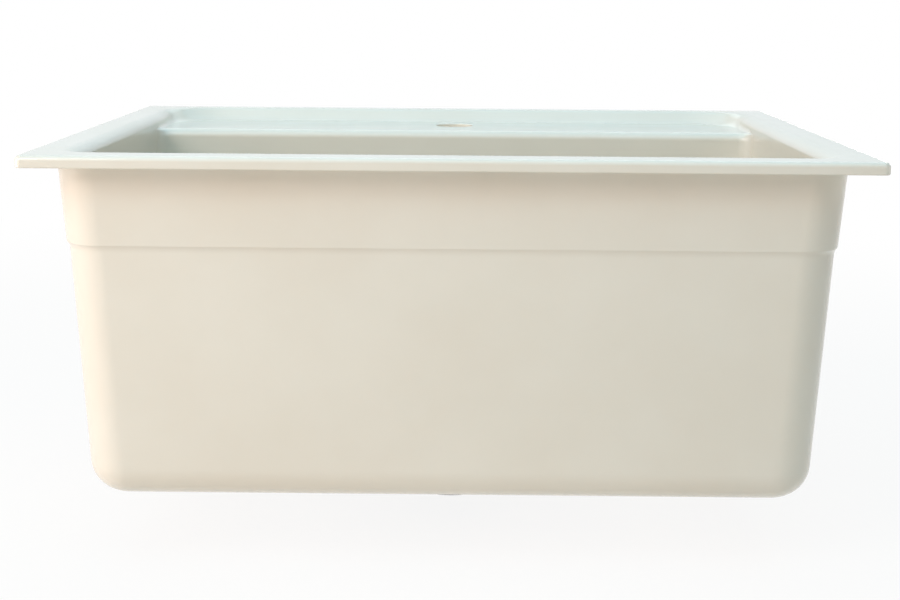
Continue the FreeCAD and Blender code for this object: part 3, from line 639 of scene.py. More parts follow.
    def _upstand_path(self, valley: float, softness: float) -> list[Flat]:
        """The upstand's section, from the rim's flat top down to the deck.

        Args:
            valley: Radius of the valley at its foot.
            softness: 0 for a round edge over an upright wall, 1 for one soft S-shaped slope.

        Returns:
            Distance inwards from the recess's line, and height.
        """
        turns = [math.radians(angle) for angle in spread(0, 90, self.rows)]
        firm = [(-self.roll_width * (1 - math.sin(turn)), self.rim_z - self.roll_depth * (1 - math.cos(turn)))
                for turn in turns]
        firm += [(valley * (1 - math.cos(turn)), self.deck_z + valley * (1 - math.sin(turn))) for turn in turns]
        path = []
        for share, (inwards, z) in zip(spread(0, 1, len(firm) - 1), firm):
            soft_in = -self.roll_width + (self.roll_width + valley) * share
            soft_z = self.rim_z - (self.rim_z - self.deck_z) * share * share * (3 - 2 * share)
            path.append((inwards + (soft_in - inwards) * softness, z + (soft_z - z) * softness))
        return path

    def _upstand(self, skin: Skin, recess: Outline) -> None:
        """The slope round the deck, which grows out of the bowl's upright walls.

        Args:
            skin: The surface to add to.
            recess: The wall round bowl and deck together.
        """
        stops = self._stops()
        valleys, _, _ = self._columns()
        count = len(recess.back(stops))
        radii = valleys + [self.valley_r] * (count - 2 * len(valleys)) + valleys[::-1]
        paths = []
        for index, radius in enumerate(radii):
            past_tip = max(min(index, count - 1 - index) - self.tips, 0)
            share = min(past_tip, self.blend) / self.blend
            paths.append(self._upstand_path(radius, share * share * (3 - 2 * share)))
        rows = []
        for step in range(len(paths[0])):
            row = []
            for index, path in enumerate(paths):
                inwards, z = path[step]
                x, y = recess.moved_in(0, inwards).back(stops)[index]
                row.append((x, y, z))
            rows.append(row)
        skin.sheet(rows)

    def _deck_front(self, skin: Skin) -> None:
        """The round front edge of the deck, from tip to tip."""
        bowl = self._bowl()
        _, turns, widths = self._columns()
        count = len(bowl.back([self._split_y()], turns[1:]))
        widths = widths + [self.deck_front_r] * (count - 2 * len(widths)) + widths[::-1]
        rows = []
        for angle in spread(0, 90, self.rows):
            turn = math.radians(angle)
            row = []
            for index, width in enumerate(widths):
                ring = bowl.moved_in(0, -width * (1 - math.sin(turn)))
                x, y = ring.back([self._split_y()], turns[1:])[index]
                row.append((x, y, self.deck_z - self.deck_front_r * (1 - math.cos(turn))))
            rows.append(row)
        skin.sheet(rows)

    def _bowl_walls(self, skin: Skin) -> None:
        """The bowl's drafted walls and the round edge of its floor."""
        mouth_z = self.deck_z - self.deck_front_r
        draft = (mouth_z - self.floor_z) * math.tan(math.radians(self.bowl_draft))
        profile = rounded_line([
            (0, mouth_z, 0),
            (draft, self.floor_z, self.floor_edge_r),
            (draft + 2 * self.floor_edge_r, self.floor_z, 0),
        ], self.rows + 2)[:-1]
        bowl = self._bowl()
        _, turns, _ = self._columns()
        front_rows, back_rows = [], []
        for inwards, z in profile:
            tighter = max(0.0, inwards - profile[1][0])
            ring = bowl.moved_in(inwards - tighter, tighter)
            split_y = ring.back_y - ring.back_r
            front_rows.append(self._at(ring.front(split_y), z))
            back_rows.append(self._at(ring.back([split_y], turns[1:]), z))
        skin.sheet(front_rows)
        skin.sheet(back_rows)

    def _waste_seat(self, skin: Skin) -> None:
        """The floor's fall, the flange's seat and the waste hole."""
        line = []
        for share in spread(0, 1, 10):
            radius = self.fall_r + (self.seat_r + self.lip_r - self.fall_r) * share
            line.append((radius, self.floor_z + (self.fall_z - self.floor_z) * share * (2 - share)))
        line += rounded_line([
            (self.seat_r + self.lip_r + 1, self.fall_z, 0),
            (self.seat_r, self.fall_z, self.lip_r),
            (self.seat_r, self.seat_z, 0),
            (self.hole_r, self.seat_z, self.lip_r),
            (self.hole_r, self.base_z, self.lip_r),
            (self.hole_r + self.lip_r + 1, self.base_z, 0),
        ], 4)[1:-1]
        skin.turned(line, DRAIN, 96)

    def _tap_hole(self, skin: Skin) -> None:
        """The tap hole with its rounded lips."""
        line = rounded_line([
            (self.tap_r + self.tap_lip_r + 1, self.deck_z, 0),
            (self.tap_r, self.deck_z, self.tap_lip_r),
            (self.tap_r, self.deck_low_z, self.lip_r),
            (self.tap_r + self.lip_r + 1, self.deck_low_z, 0),
        ], 5)[1:-1]
        skin.turned(line, (0.0, self.tap_y), 72)

    def _outside(self, skin: Skin) -> None:
        """The walls under the rim: upper band, step, lower walls and the base's round edge."""
        wall = Outline(self.wall_x, self.wall_front_y, self.wall_back_y, self.wall_corner_r, self.wall_corner_r)
        slab = Outline(self.wall_x, self.wall_front_y, self.slab_back_y, self.wall_corner_r, self.wall_corner_r)
        split_y = self.wall_back_y - self.wall_corner_r
        slope = math.tan(math.radians(self.band_draft))
        slab_in = -self.deck_low_z * slope
        top = rounded_line([(-3, 0, 0), (0, 0, self.root_r), (slab_in, self.deck_low_z, 0)], 4)[1:]
        slab_stops = spread(split_y, split_y + self.slab_tip_length, self.tips)
        slab_stops += spread(slab_stops[-1], self.slab_back_y - self.wall_corner_r, 6)[1:]
        count = len(slab.back(slab_stops))
        radii = [self.deck_low_r * (index / self.tips) ** 2 for index in range(self.tips + 1)]
        radii = radii + [self.deck_low_r] * (count - 2 * len(radii)) + radii[::-1]
        front_rows, back_rows = [], []
        for inwards, z in top:
            outwards = min(0.0, inwards - top[4][0])
            ring = wall.moved_in(inwards - outwards, outwards)
            front_rows.append(self._at(ring.front(split_y), z))
            back_rows.append(self._at(slab.moved_in(inwards - outwards, outwards).back(slab_stops), z))
        low = []
        for index, ((x, y, z), radius) in enumerate(zip(back_rows[-1], radii)):
            ring = slab.moved_in(slab_in - radius * slope)
            x, y = ring.back(slab_stops)[index]
            low.append((x, y, z + radius))
        back_rows[-1] = low
        skin.sheet(front_rows)
        skin.sheet(back_rows)
        edge_rows = []
        for angle in spread(0, 90, self.rows):
            turn = math.radians(angle)
            row = []
            for index, radius in enumerate(radii):
                inwards = radius * (1 - math.cos(turn))
                ring = slab.moved_in(slab_in - radius * slope * (1 - math.sin(turn)), inwards)
                x, y = ring.back(slab_stops)[index]
                row.append((x, y, self.deck_low_z + radius * (1 - math.sin(turn))))
            edge_rows.append(row)
        skin.sheet(edge_rows)
        self._lower_walls(skin, wall, slab_in, slope)

    def _lower_walls(self, skin: Skin, wall: Outline, slab_in: float, slope: float) -> None:
        """The walls from the slab's underside down to the base.

        Args:
            skin: The surface to add to.
            wall: The walls' outline at the rim.
            slab_in: How far the draft has moved the walls in at the slab's underside.
            slope: The band's draft as a slope.
        """
        band_in = -self.band_z * slope
        step_in = band_in + self.step_in
        low_in = step_in + (self.step_z - self.base_z) * math.tan(math.radians(self.wall_draft))
        profile = rounded_line([
            (slab_in, self.deck_low_z, 0),
            (band_in, self.band_z, self.step_edge_r),
            (step_in, self.step_z, self.step_cove_r),
            (low_in, self.base_z, self.base_edge_r),
            (low_in + 2 * self.base_edge_r, self.base_z, 0),
        ], self.rows + 4)[:-1]
        foot = profile[-self.rows - 5][0]
        front_rows, back_rows = [], []
        for inwards, z in profile:
            tighter = max(0.0, inwards - foot)
            ring = wall.moved_in(inwards - tighter, tighter)
            split_y = ring.back_y - ring.back_r
            front_rows.append(self._at(ring.front(split_y), z))
            back_rows.append(self._at(ring.back([split_y]), z))
        skin.sheet(front_rows)
        skin.sheet(back_rows)

    def build(self, finish: bpy.types.Material) -> bpy.types.Object:
        """Build the basin and dress it.

        Args:
            finish: The cast material.

        Returns:
            The basin's object.
        """
        skin = Skin()
        self._rim(skin)
        self._roll_and_walls(skin)
        self._deck_front(skin)
        self._bowl_walls(skin)
        self._waste_seat(skin)
        self._tap_hole(skin)
        self._outside(skin)
        skin.weld()
        for z in (self.rim_z, 0.0, self.deck_z, self.deck_low_z, self.floor_z, self.base_z):
            skin.fill(z)
        piece = skin.piece("cast_basin")
        piece.data.materials.append(finish)
        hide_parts("basin")
        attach(piece, "sink")
        return piece


# ---------------------------------------------------------------- waste, basket and plunger
class Body(Enum):
    """The bodies that pieces ride on."""

    SINK = "sink"
    BASKET = "basket"
    PLUNGER = "plunger"


class Meeting(Enum):
    """How a shape meets the piece."""

    CUT = "DIFFERENCE"
    ADD = "UNION"


def pressed_line(corners: Sequence[Spot], thick: float, steps: int = 5) -> list[Flat]:
    """The closed section of a pressed sheet.

    Args:
        corners: Radius, height and bend radius along its upper face, from the rim inwards.
        thick: The sheet's thickness.
        steps: Straight pieces in each bend.

    Returns:
        The section's points, with a soft outer edge.
    """
    upper = [Vector(point) for point in rounded_line(corners, steps)]
    lower = []
    for index, point in enumerate(upper):
        run = (upper[min(index + 1, len(upper) - 1)] - upper[max(index - 1, 0)]).normalized()
        lower.append(point + Vector((-run.y, run.x)) * thick)
    lip = (upper[0] + lower[0]) / 2 + Vector((thick / 4, 0))
    return [tuple(lip)] + [tuple(point) for point in upper + lower[::-1]]


def turned_piece(name: str, line: Sequence[Flat], closed: bool = True, pieces: int = 96) -> bpy.types.Object:
    """A piece turned about its own upright axis, at the origin.

    Args:
        name: The piece's name.
        line: Its section, as radius and height.
        closed: False where the section starts and ends on the axis.
        pieces: Faces round the axis.

    Returns:
        The piece.
    """
    skin = Skin()
    skin.turned(list(line) + list(line[:1]) if closed else line, (0.0, 0.0), pieces)
    return skin.piece(name, even=False)


def soft_section(corners: Sequence[Flat], radius: float) -> list[Flat]:
    """A closed section whose corners all have the same small radius.

    Args:
        corners: The section's corners.
        radius: The radius of every corner.

    Returns:
        The rounded section.
    """
    first = ((corners[0][0] + corners[-1][0]) / 2, (corners[0][1] + corners[-1][1]) / 2)
    line = [(*first, 0.0)] + [(*corner, radius) for corner in corners] + [(*first, 0.0)]
    return rounded_line(line, 4)[:-1]


def settle(piece: bpy.types.Object, place: Matrix) -> None:
    """Put a piece's place into its mesh.

    Args:
        piece: The piece, built at the origin.
        place: Where it belongs, in millimetres.
    """
    moved = place.copy()
    moved.translation = place.translation * MM
    piece.data.transform(moved)
    piece.data.update()


DRAIN_PLACE = Matrix.Translation((DRAIN[0], DRAIN[1], 0.0))
OUTLET_PLACE = Matrix.Translation((0.0, 0.0, -283.0)) @ Matrix.Rotation(-math.pi / 2, 4, "X")


class GrowingTree:
    """A Geometry Nodes tree for shapes that repeat round a piece's own axis."""

    def __init__(self, name: str, inputs: dict[str, tuple[str, object]]) -> None:
        """Start the tree.

        Args:
            name: The tree's name.
            inputs: For each named input, its socket type and usual value.
        """
        self.tree = bpy.data.node_groups.new(name, "GeometryNodeTree")
        face = self.tree.interface
        face.new_socket("Geometry", in_out="INPUT", socket_type="NodeSocketGeometry")
        face.new_socket("Finish", in_out="INPUT", socket_type="NodeSocketMaterial")
        for label, (kind, value) in inputs.items():
            face.new_socket(label, in_out="INPUT", socket_type=kind).default_value = value
        face.new_socket("Geometry", in_out="OUTPUT", socket_type="NodeSocketGeometry")
        self.nodes = Nodes(self.tree)
        self.given = self.nodes.add("NodeGroupInput").outputs

    def maths(self, operation: str, first: object, second: object = 0.0) -> bpy.types.NodeSocket:
        """One sum on two values."""
        return self.nodes.add("ShaderNodeMath", {0: first, 1: second}, operation=operation).outputs[0]

    def spot(self, x: object = 0.0, y: object = 0.0, z: object = 0.0) -> bpy.types.NodeSocket:
        """A vector from three values."""
        return self.nodes.add("ShaderNodeCombineXYZ", {0: x, 1: y, 2: z}).outputs[0]

    def moved(self, shape: bpy.types.NodeSocket, place: object, turn: object = (0, 0, 0)) -> bpy.types.NodeSocket:
        """A shape moved and turned."""
        return self.nodes.add("GeometryNodeTransform", {
            "Geometry": shape, "Translation": place, "Rotation": turn}).outputs[0]

    def joined(self, *shapes: bpy.types.NodeSocket) -> bpy.types.NodeSocket:
        """Several shapes as one."""
        join = self.nodes.add("GeometryNodeJoinGeometry")
        for shape in shapes:
            self.tree.links.new(shape, join.inputs[0])
        return join.outputs[0]

    def end(self, shape: bpy.types.NodeSocket) -> bpy.types.NodeTree:
        """Close the tree with real meshes and their finish."""
        real = self.nodes.add("GeometryNodeRealizeInstances", {"Geometry": shape}).outputs[0]
        dressed = self.nodes.add("GeometryNodeSetMaterial", {
            "Geometry": real, "Material": self.given["Finish"]}).outputs[0]
        self.nodes.add("NodeGroupOutput", {"Geometry": dressed})
        return self.tree


def repeat_round(meeting: Meeting) -> bpy.types.NodeTree:
    """The tree that sets bars or long blocks evenly round a piece's axis.

    Args:
        meeting: Whether they are cut from the piece, as holes, slots and grips, or added to it, as ribs.

    Returns:
        The tree.
    """
    grow = GrowingTree(f"{meeting.name.lower()}_round", {
        "Count": ("NodeSocketInt", 10),
        "Reach": ("NodeSocketFloat", 0.01),
        "Length": ("NodeSocketFloat", 0.0),
        "Radius": ("NodeSocketFloat", 0.0016),
        "Depth": ("NodeSocketFloat", 0.004),
        "Height": ("NodeSocketFloat", 0.0),
        "Lean": ("NodeSocketFloat", 0.0),
        "Start": ("NodeSocketFloat", 0.0),
    })
    given = grow.given
    bar = grow.nodes.add("GeometryNodeMeshCylinder", {
        "Vertices": 20, "Radius": given["Radius"], "Depth": given["Depth"]}).outputs["Mesh"]
    far = grow.moved(bar, grow.spot(given["Length"]))
    width = grow.maths("MULTIPLY", given["Radius"], 2.0)
    block = grow.nodes.add("GeometryNodeMeshCube", {
        "Size": grow.spot(given["Length"], width, given["Depth"])}).outputs["Mesh"]
    block = grow.moved(block, grow.spot(grow.maths("MULTIPLY", given["Length"], 0.5)))
    long = grow.maths("GREATER_THAN", given["Length"], 0.0)
    cutter = grow.nodes.add("GeometryNodeSwitch", {
        "Switch": long, "False": bar, "True": grow.joined(bar, far, block)}, input_type="GEOMETRY").outputs[0]
    cutter = grow.moved(cutter, (0, 0, 0), grow.spot(0.0, given["Lean"], 0.0))
    cutter = grow.moved(cutter, grow.spot(given["Reach"], 0.0, given["Height"]))
    points = grow.nodes.add("GeometryNodePoints", {"Count": given["Count"]}).outputs[0]
    index = grow.nodes.add("GeometryNodeInputIndex").outputs[0]
    step = grow.maths("DIVIDE", 2 * math.pi, given["Count"])
    angle = grow.maths("ADD", grow.maths("MULTIPLY", index, step), given["Start"])
    ring = grow.nodes.add("GeometryNodeInstanceOnPoints", {
        "Points": points, "Instance": cutter, "Rotation": grow.spot(0.0, 0.0, angle)}).outputs[0]
    real = grow.nodes.add("GeometryNodeRealizeInstances", {"Geometry": ring}).outputs[0]
    met = grow.nodes.add("GeometryNodeMeshBoolean", {"Mesh 2": real}, operation=meeting.value, solver="EXACT")
    met.inputs["Self Intersection"].default_value = True
    target = met.inputs["Mesh 1" if meeting is Meeting.CUT else "Mesh 2"]
    grow.tree.links.new(given["Geometry"], target)
    return grow.end(met.outputs["Mesh"])


def thread_round() -> bpy.types.NodeTree:
    """The tree that winds a thread's ridge round a piece's axis."""
    grow = GrowingTree("thread_round", {
        "Turns": ("NodeSocketFloat", 5.0),
        "Radius": ("NodeSocketFloat", 0.02),
        "Length": ("NodeSocketFloat", 0.015),
        "Ridge": ("NodeSocketFloat", 0.001),
        "Height": ("NodeSocketFloat", 0.0),
    })
    given = grow.given
    spiral = grow.nodes.add("GeometryNodeCurveSpiral", {
        "Resolution": 72, "Rotations": given["Turns"], "Start Radius": given["Radius"],
        "End Radius": given["Radius"], "Height": given["Length"]}).outputs["Curve"]
    spiral = grow.moved(spiral, grow.spot(0.0, 0.0, given["Height"]))
    section = grow.nodes.add("GeometryNodeCurvePrimitiveCircle", {
        "Resolution": 6, "Radius": given["Ridge"]}).outputs["Curve"]
    ridge = grow.nodes.add("GeometryNodeCurveToMesh", {
        "Curve": spiral, "Profile Curve": section, "Fill Caps": True}).outputs["Mesh"]
    return grow.end(grow.joined(given["Geometry"], ridge))


def grown(piece: bpy.types.Object, tree: bpy.types.NodeTree, finish: bpy.types.Material,
          **values: float) -> bpy.types.Object:
    """Run a tree on a piece and keep the result as its plain mesh.

    Args:
        piece: The piece, built at the origin.
        tree: The Geometry Nodes tree.
        finish: The material that the tree sets.
        values: The tree's inputs by name.

    Returns:
        The piece.
    """
    modifier = piece.modifiers.new(tree.name, "NODES")
    modifier.node_group = tree
    sockets = {item.name: item.identifier for item in tree.interface.items_tree
               if item.item_type == "SOCKET" and item.in_out == "INPUT"}
    modifier[sockets["Finish"]] = finish
    for name, value in values.items():
        modifier[sockets[name]] = value
    return baked(piece)


def baked(piece: bpy.types.Object) -> bpy.types.Object:
    """Keep what a piece's modifiers make as its plain mesh."""
    bpy.context.view_layer.update()
    graph = bpy.context.evaluated_depsgraph_get()
    mesh = bpy.data.meshes.new_from_object(piece.evaluated_get(graph))
    old = piece.data
    piece.modifiers.clear()
    piece.data = mesh
    bpy.data.meshes.remove(old)
    return piece


def creased(piece: bpy.types.Object, degrees: float = 40.0) -> bpy.types.Object:
    """Shade a piece evenly with its real edges kept sharp.

    Args:
        piece: The piece.
        degrees: The angle past which an edge is sharp.

    Returns:
        The piece.
    """
    piece.data.shade_smooth()
    piece.data.set_sharp_from_angle(angle=math.radians(degrees))
    even = piece.modifiers.new("even", "WEIGHTED_NORMAL")
    even.keep_sharp = True
    even.weight = 100
    return baked(piece)


def combined(piece: bpy.types.Object, other: bpy.types.Object, meeting: Meeting) -> bpy.types.Object:
    """Join a piece with another one, or cut that from it.

    Args:
        piece: The piece that stays.
        other: The piece that is used up.
        meeting: Whether it is added or cut.

    Returns:
        The piece.
    """
    step = piece.modifiers.new("step", "BOOLEAN")
    step.operation = meeting.value
    step.solver = "EXACT"
    step.object = other
    baked(piece)
    bpy.data.objects.remove(other)
    return piece


@dataclass(frozen=True)
class Workshop:
    """What the small pieces are made with: their finishes and the growing trees."""

    finishes: dict[str, bpy.types.Material]
    cuts: bpy.types.NodeTree
    ribs: bpy.types.NodeTree
    threads: bpy.types.NodeTree

    def hand_over(self, piece: bpy.types.Object, place: Matrix, finish: Finish, node: str, body: Body) -> None:
        """Dress a finished piece and put it in its place on its body.

        Args:
            piece: The piece, built at the origin.
            place: Where it belongs.
            finish: Its finish, which has the record's slot for a name.
            node: The node that it stands for.
            body: The body that it rides on.
        """
        settle(piece, place)
        piece.data.materials.clear()
        piece.data.materials.append(self.finishes[finish.name])
        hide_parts(node)
        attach(piece, body.value)
        log.info("%s stands for %s: %d faces", piece.name, node, len(piece.data.polygons))


@dataclass(frozen=True)
class WasteFitting:
    """The fixed waste: strainer flange, gasket, clamp screw and the body under the base."""

    flange_r: float = 57.0
    flange_z: float = -243.5
    sheet: float = 1.2
    mouth_r: float = 44.5
    throat_r: float = 41.0
    lead: float = 3.5
    cup_z: float = -277.1
    cup_r: float = 36.0
    heel: float = 3.0
    dimple_r: float = 9.5
    dimple_z: float = -281.1
    screw_hole_r: float = 3.4
    slots: int = 10
    slot_r: float = 2.0
    slot_in: float = 14.0
    slot_out: float = 23.0
    base_z: float = -253.0
    gasket: float = 3.5
    gasket_in: float = 46.0
    body_flange_r: float = 54.0
    body_flange: float = 4.0
    body_r: float = 50.0
    wall: float = 3.0
    flat_r: float = 39.0
    slope: float = 4.4
    body_z: float = -289.0
    post_r: float = 9.0
    post_z: float = -282.8
    insert_r: float = 5.0
    insert: float = 8.0
    boss_z: float = -292.6
    ribs: int = 4
    rib: float = 2.5
    rib_drop: float = 0.6
    outlet_r: float = 21.5
    bore_r: float = 18.0
    outlet_y: float = -25.25
    thread_y: float = 19.75
    thread_r: float = 23.9
    end_y: float = 37.75
    socket_y: float = 23.75
    socket_r: float = 20.0
    chamfer: float = 2.5
    thread_root: float = 1.0
    ridge: float = 0.95
    turns: float = 5.0
    screw_r: float = 3.0
    screw_head_r: float = 5.5
    screw_head: float = 3.0
    screw_low_z: float = -290.3
    screw_step: float = 1.5
    screw_root: float = 0.35
    screw_slot_r: float = 0.6
    screw_slot: float = 14.0
    screw_slot_deep: float = 3.0
    screw_ridge: float = 0.34
    screw_turns: float = 8.0
    screw_thread: float = 7.6
    washer: float = 1.0

    def flange(self, shop: Workshop) -> None:
        """The pressed flange with its cup, dimple and radial slots."""
        line = pressed_line([
            (self.flange_r - self.sheet / 4, self.flange_z, 0),
            (self.mouth_r, self.flange_z, 1.6),
            (self.throat_r, self.flange_z - self.lead, 1.4),
            (self.cup_r, self.cup_z + self.heel, 3.0),
            (self.cup_r - self.heel, self.cup_z, 3.0),
            (self.dimple_r, self.cup_z, 0.9),
            (self.dimple_r - self.sheet, self.dimple_z, 0.7),
            (self.screw_hole_r, self.dimple_z, 0),
        ], self.sheet)
        piece = turned_piece("strainer_flange", line, pieces=128)
        grown(piece, shop.cuts, shop.finishes[PRESSED.name], Count=self.slots, Reach=self.slot_in * MM,
              Length=(self.slot_out - self.slot_in) * MM, Radius=self.slot_r * MM, Depth=4 * self.sheet * MM,
              Height=(self.cup_z - self.sheet / 2) * MM)
        shop.hand_over(creased(piece), DRAIN_PLACE, PRESSED, "waste_flange", Body.SINK)

    def ring(self, shop: Workshop) -> None:
        """The thick gasket between base and body, with softened edges."""
        low, high = self.base_z - self.gasket, self.base_z
        section = soft_section([
            (self.gasket_in, low), (self.body_flange_r, low), (self.body_flange_r, high), (self.gasket_in, high),
        ], 0.7)
        piece = turned_piece("base_gasket", section)
        shop.hand_over(piece, DRAIN_PLACE, BLACK_RUBBER, "body_gasket", Body.SINK)

    def screw(self, shop: Workshop) -> None:
        """The slotted clamp screw with its thread."""
        head_z = self.dimple_z + self.washer
        top_z = head_z + self.screw_head
        root_r = self.screw_r - self.screw_root
        line = rounded_line([
            (0, top_z, 0), (self.screw_head_r, top_z, 1.1), (self.screw_head_r, head_z, 0.3),
            (self.screw_r, head_z, 0.2), (self.screw_r, head_z - self.screw_step, 0),
            (root_r, head_z - self.screw_step - 0.5, 0),
            (root_r, self.screw_low_z + 0.6, 0), (root_r - 0.6, self.screw_low_z, 0), (0, self.screw_low_z, 0),
        ], 4)
        piece = turned_piece("slotted_screw", line, closed=False, pieces=48)
        steel = shop.finishes[TURNED.name]
        grown(piece, shop.cuts, steel, Count=1, Reach=-self.screw_slot / 2 * MM, Length=self.screw_slot * MM,
              Radius=self.screw_slot_r * MM, Depth=self.screw_slot_deep * MM, Height=top_z * MM)
        grown(piece, shop.threads, steel, Turns=self.screw_turns, Radius=root_r * MM,
              Length=self.screw_thread * MM, Ridge=self.screw_ridge * MM, Height=(self.screw_low_z + 0.5) * MM)
        shop.hand_over(creased(piece), DRAIN_PLACE, TURNED, "clamp_screw", Body.SINK)

    def _moulded_cup(self, floor_z: float, top_z: float) -> bpy.types.Object:
        """The body's shallow cup with its flange, centre post and boss, about its own axis.

        Args:
            floor_z: The height of its floor inside.
            top_z: The height of its flange's top.

        Returns:
            The cup.
        """
        return turned_piece("moulded_body", rounded_line([
            (0, self.boss_z, 0), (self.post_r, self.boss_z, 1.0), (self.post_r, self.body_z, 1.2),
            (self.flat_r, self.body_z, 3.0), (self.body_r, self.body_z + self.slope, 2.0),
            (self.body_r, top_z - self.body_flange, 1.2), (self.body_flange_r, top_z - self.body_flange, 1.0),
            (self.body_flange_r, top_z, 0.5), (self.body_r - self.wall, top_z, 0.5),
            (self.body_r - self.wall, floor_z + self.slope, 2.0), (self.flat_r - self.wall, floor_z, 2.0),
            (self.post_r, floor_z, 1.0), (self.post_r, self.post_z, 0.6), (self.insert_r, self.post_z, 0.2),
            (self.insert_r, self.post_z - self.insert, 0), (0, self.post_z - self.insert, 0),
        ], 5), closed=False)

    def _hollow(self, floor_z: float, top_z: float) -> bpy.types.Object:
        """The room inside the cup, which the outlet's pipe stays out of.

        Args:
            floor_z: The height of the cup's floor inside.
            top_z: The height of its flange's top.

        Returns:
            The shape to cut with, in its place.
        """
        hollow = turned_piece("hollow", [
            (0, floor_z - 1), (self.flat_r - self.wall, floor_z - 1),
            (self.body_r - self.wall + 1, floor_z + self.slope - 1), (self.body_r - self.wall + 1, top_z + 5),
            (0, top_z + 5),
        ], closed=False, pieces=64)
        settle(hollow, DRAIN_PLACE)
        return hollow

    def _outlet(self, root_r: float) -> bpy.types.Object:
        """The solid outlet, in its place.

        Args:
            root_r: The radius at the root of its thread.

        Returns:
            The outlet.
        """
        pipe = turned_piece("pipe", rounded_line([
            (0, self.outlet_y, 0), (self.outlet_r, self.outlet_y, 3.0), (self.outlet_r, self.thread_y - 2, 1.5),
            (root_r, self.thread_y - 0.6, 0), (root_r, self.end_y, 0.6), (0, self.end_y, 0),
        ], 5), closed=False)
        settle(pipe, OUTLET_PLACE)
        return pipe

    def _bore(self) -> bpy.types.Object:
        """The outlet's bore with its wider socket and chamfer, in its place."""
        bore = turned_piece("bore", [
            (0, self.outlet_y + self.outlet_r - self.bore_r), (self.bore_r, self.outlet_y + 3.5),
            (self.bore_r, self.socket_y), (self.socket_r, self.socket_y),
            (self.socket_r, self.end_y - self.chamfer), (self.socket_r + self.chamfer, self.end_y),
            (self.socket_r + self.chamfer, self.end_y + 2), (0, self.end_y + 2),
        ], closed=False)
        settle(bore, OUTLET_PLACE)
        return bore

    def body(self, shop: Workshop) -> None:
        """The moulded body: shallow cup, ribs and threaded side outlet."""
        top_z = self.base_z - self.gasket
        floor_z = self.body_z + self.wall
        root_r = self.thread_r - self.thread_root
        plastic = shop.finishes[BLACK_PLASTIC.name]
        cup = self._moulded_cup(floor_z, top_z)
        rib = self.post_z - self.rib_drop - floor_z + 1
        grown(cup, shop.ribs, plastic, Count=self.ribs, Start=math.pi / self.ribs,
              Reach=(self.insert_r + 2) * MM, Length=(self.flat_r - self.insert_r) * MM,
              Radius=self.rib / 2 * MM, Depth=rib * MM, Height=(floor_z - 1 + rib / 2) * MM)
        settle(cup, DRAIN_PLACE)
        pipe = combined(self._outlet(root_r), self._hollow(floor_z, top_z), Meeting.CUT)
        combined(cup, pipe, Meeting.ADD)
        combined(cup, self._bore(), Meeting.CUT)
        settle(cup, OUTLET_PLACE.inverted())
        grown(cup, shop.threads, plastic, Turns=self.turns, Radius=root_r * MM,
              Length=(self.end_y - self.thread_y - 3.4) * MM, Ridge=self.ridge * MM,
              Height=(self.thread_y + 1.4) * MM)
        shop.hand_over(creased(cup), OUTLET_PLACE, BLACK_PLASTIC, "waste_body", Body.SINK)

    def build(self, shop: Workshop) -> None:
        """Build every piece of the fixed waste."""
        self.flange(shop)
        self.ring(shop)
        self.screw(shop)
        self.body(shop)


@dataclass(frozen=True)
class OutletPipe:
    """The coupling nut and the short pipe behind the body."""

    nut_start: float = 25.75
    nut_end: float = 45.75
    cone_end: float = 41.75
    nut_r: float = 28.0
    nut_bore: float = 24.1
    lip_r: float = 20.5
    grips: int = 16
    grip_r: float = 2.4
    pipe_start: float = 24.25
    pipe_end: float = 88.75
    spigot_r: float = 19.7
    pipe_r: float = 20.0
    bore_r: float = 18.0

    def nut(self, shop: Workshop) -> None:
        """The coupling nut with its finger grips."""
        section = soft_section([
            (self.nut_bore, self.nut_start), (self.nut_r, self.nut_start), (self.nut_r, self.nut_end),
            (self.lip_r, self.nut_end), (self.lip_r, self.cone_end), (self.nut_bore, self.cone_end),
        ], 0.9)
        piece = turned_piece("coupling_nut", section, pieces=128)
        length = self.nut_end - self.nut_start + 4
        grown(piece, shop.cuts, shop.finishes[BLACK_PLASTIC.name], Count=self.grips,
              Reach=(self.nut_r + self.grip_r / 2) * MM, Radius=self.grip_r * MM, Depth=length * MM,
              Height=(self.nut_start + self.nut_end) / 2 * MM)
        shop.hand_over(creased(piece, 50.0), OUTLET_PLACE, BLACK_PLASTIC, "outlet_nut", Body.SINK)

    def pipe(self, shop: Workshop) -> None:
        """The short pipe with its softened free end."""
        section = rounded_line([
            (self.bore_r, (self.pipe_start + self.pipe_end) / 2, 0), (self.bore_r, self.pipe_start, 0.4),
            (self.spigot_r, self.pipe_start, 0.6), (self.spigot_r, self.nut_end, 0),
            (self.pipe_r, self.nut_end, 0.1), (self.pipe_r, self.pipe_end, 1.2), (self.bore_r, self.pipe_end, 0.4),
        ], 4)
        piece = turned_piece("trap_pipe", section)
        shop.hand_over(creased(piece), OUTLET_PLACE, PIPE_PLASTIC, "outlet_tailpiece", Body.SINK)

    def build(self, shop: Workshop) -> None:
        """Build nut and pipe."""
        self.nut(shop)
        self.pipe(shop)


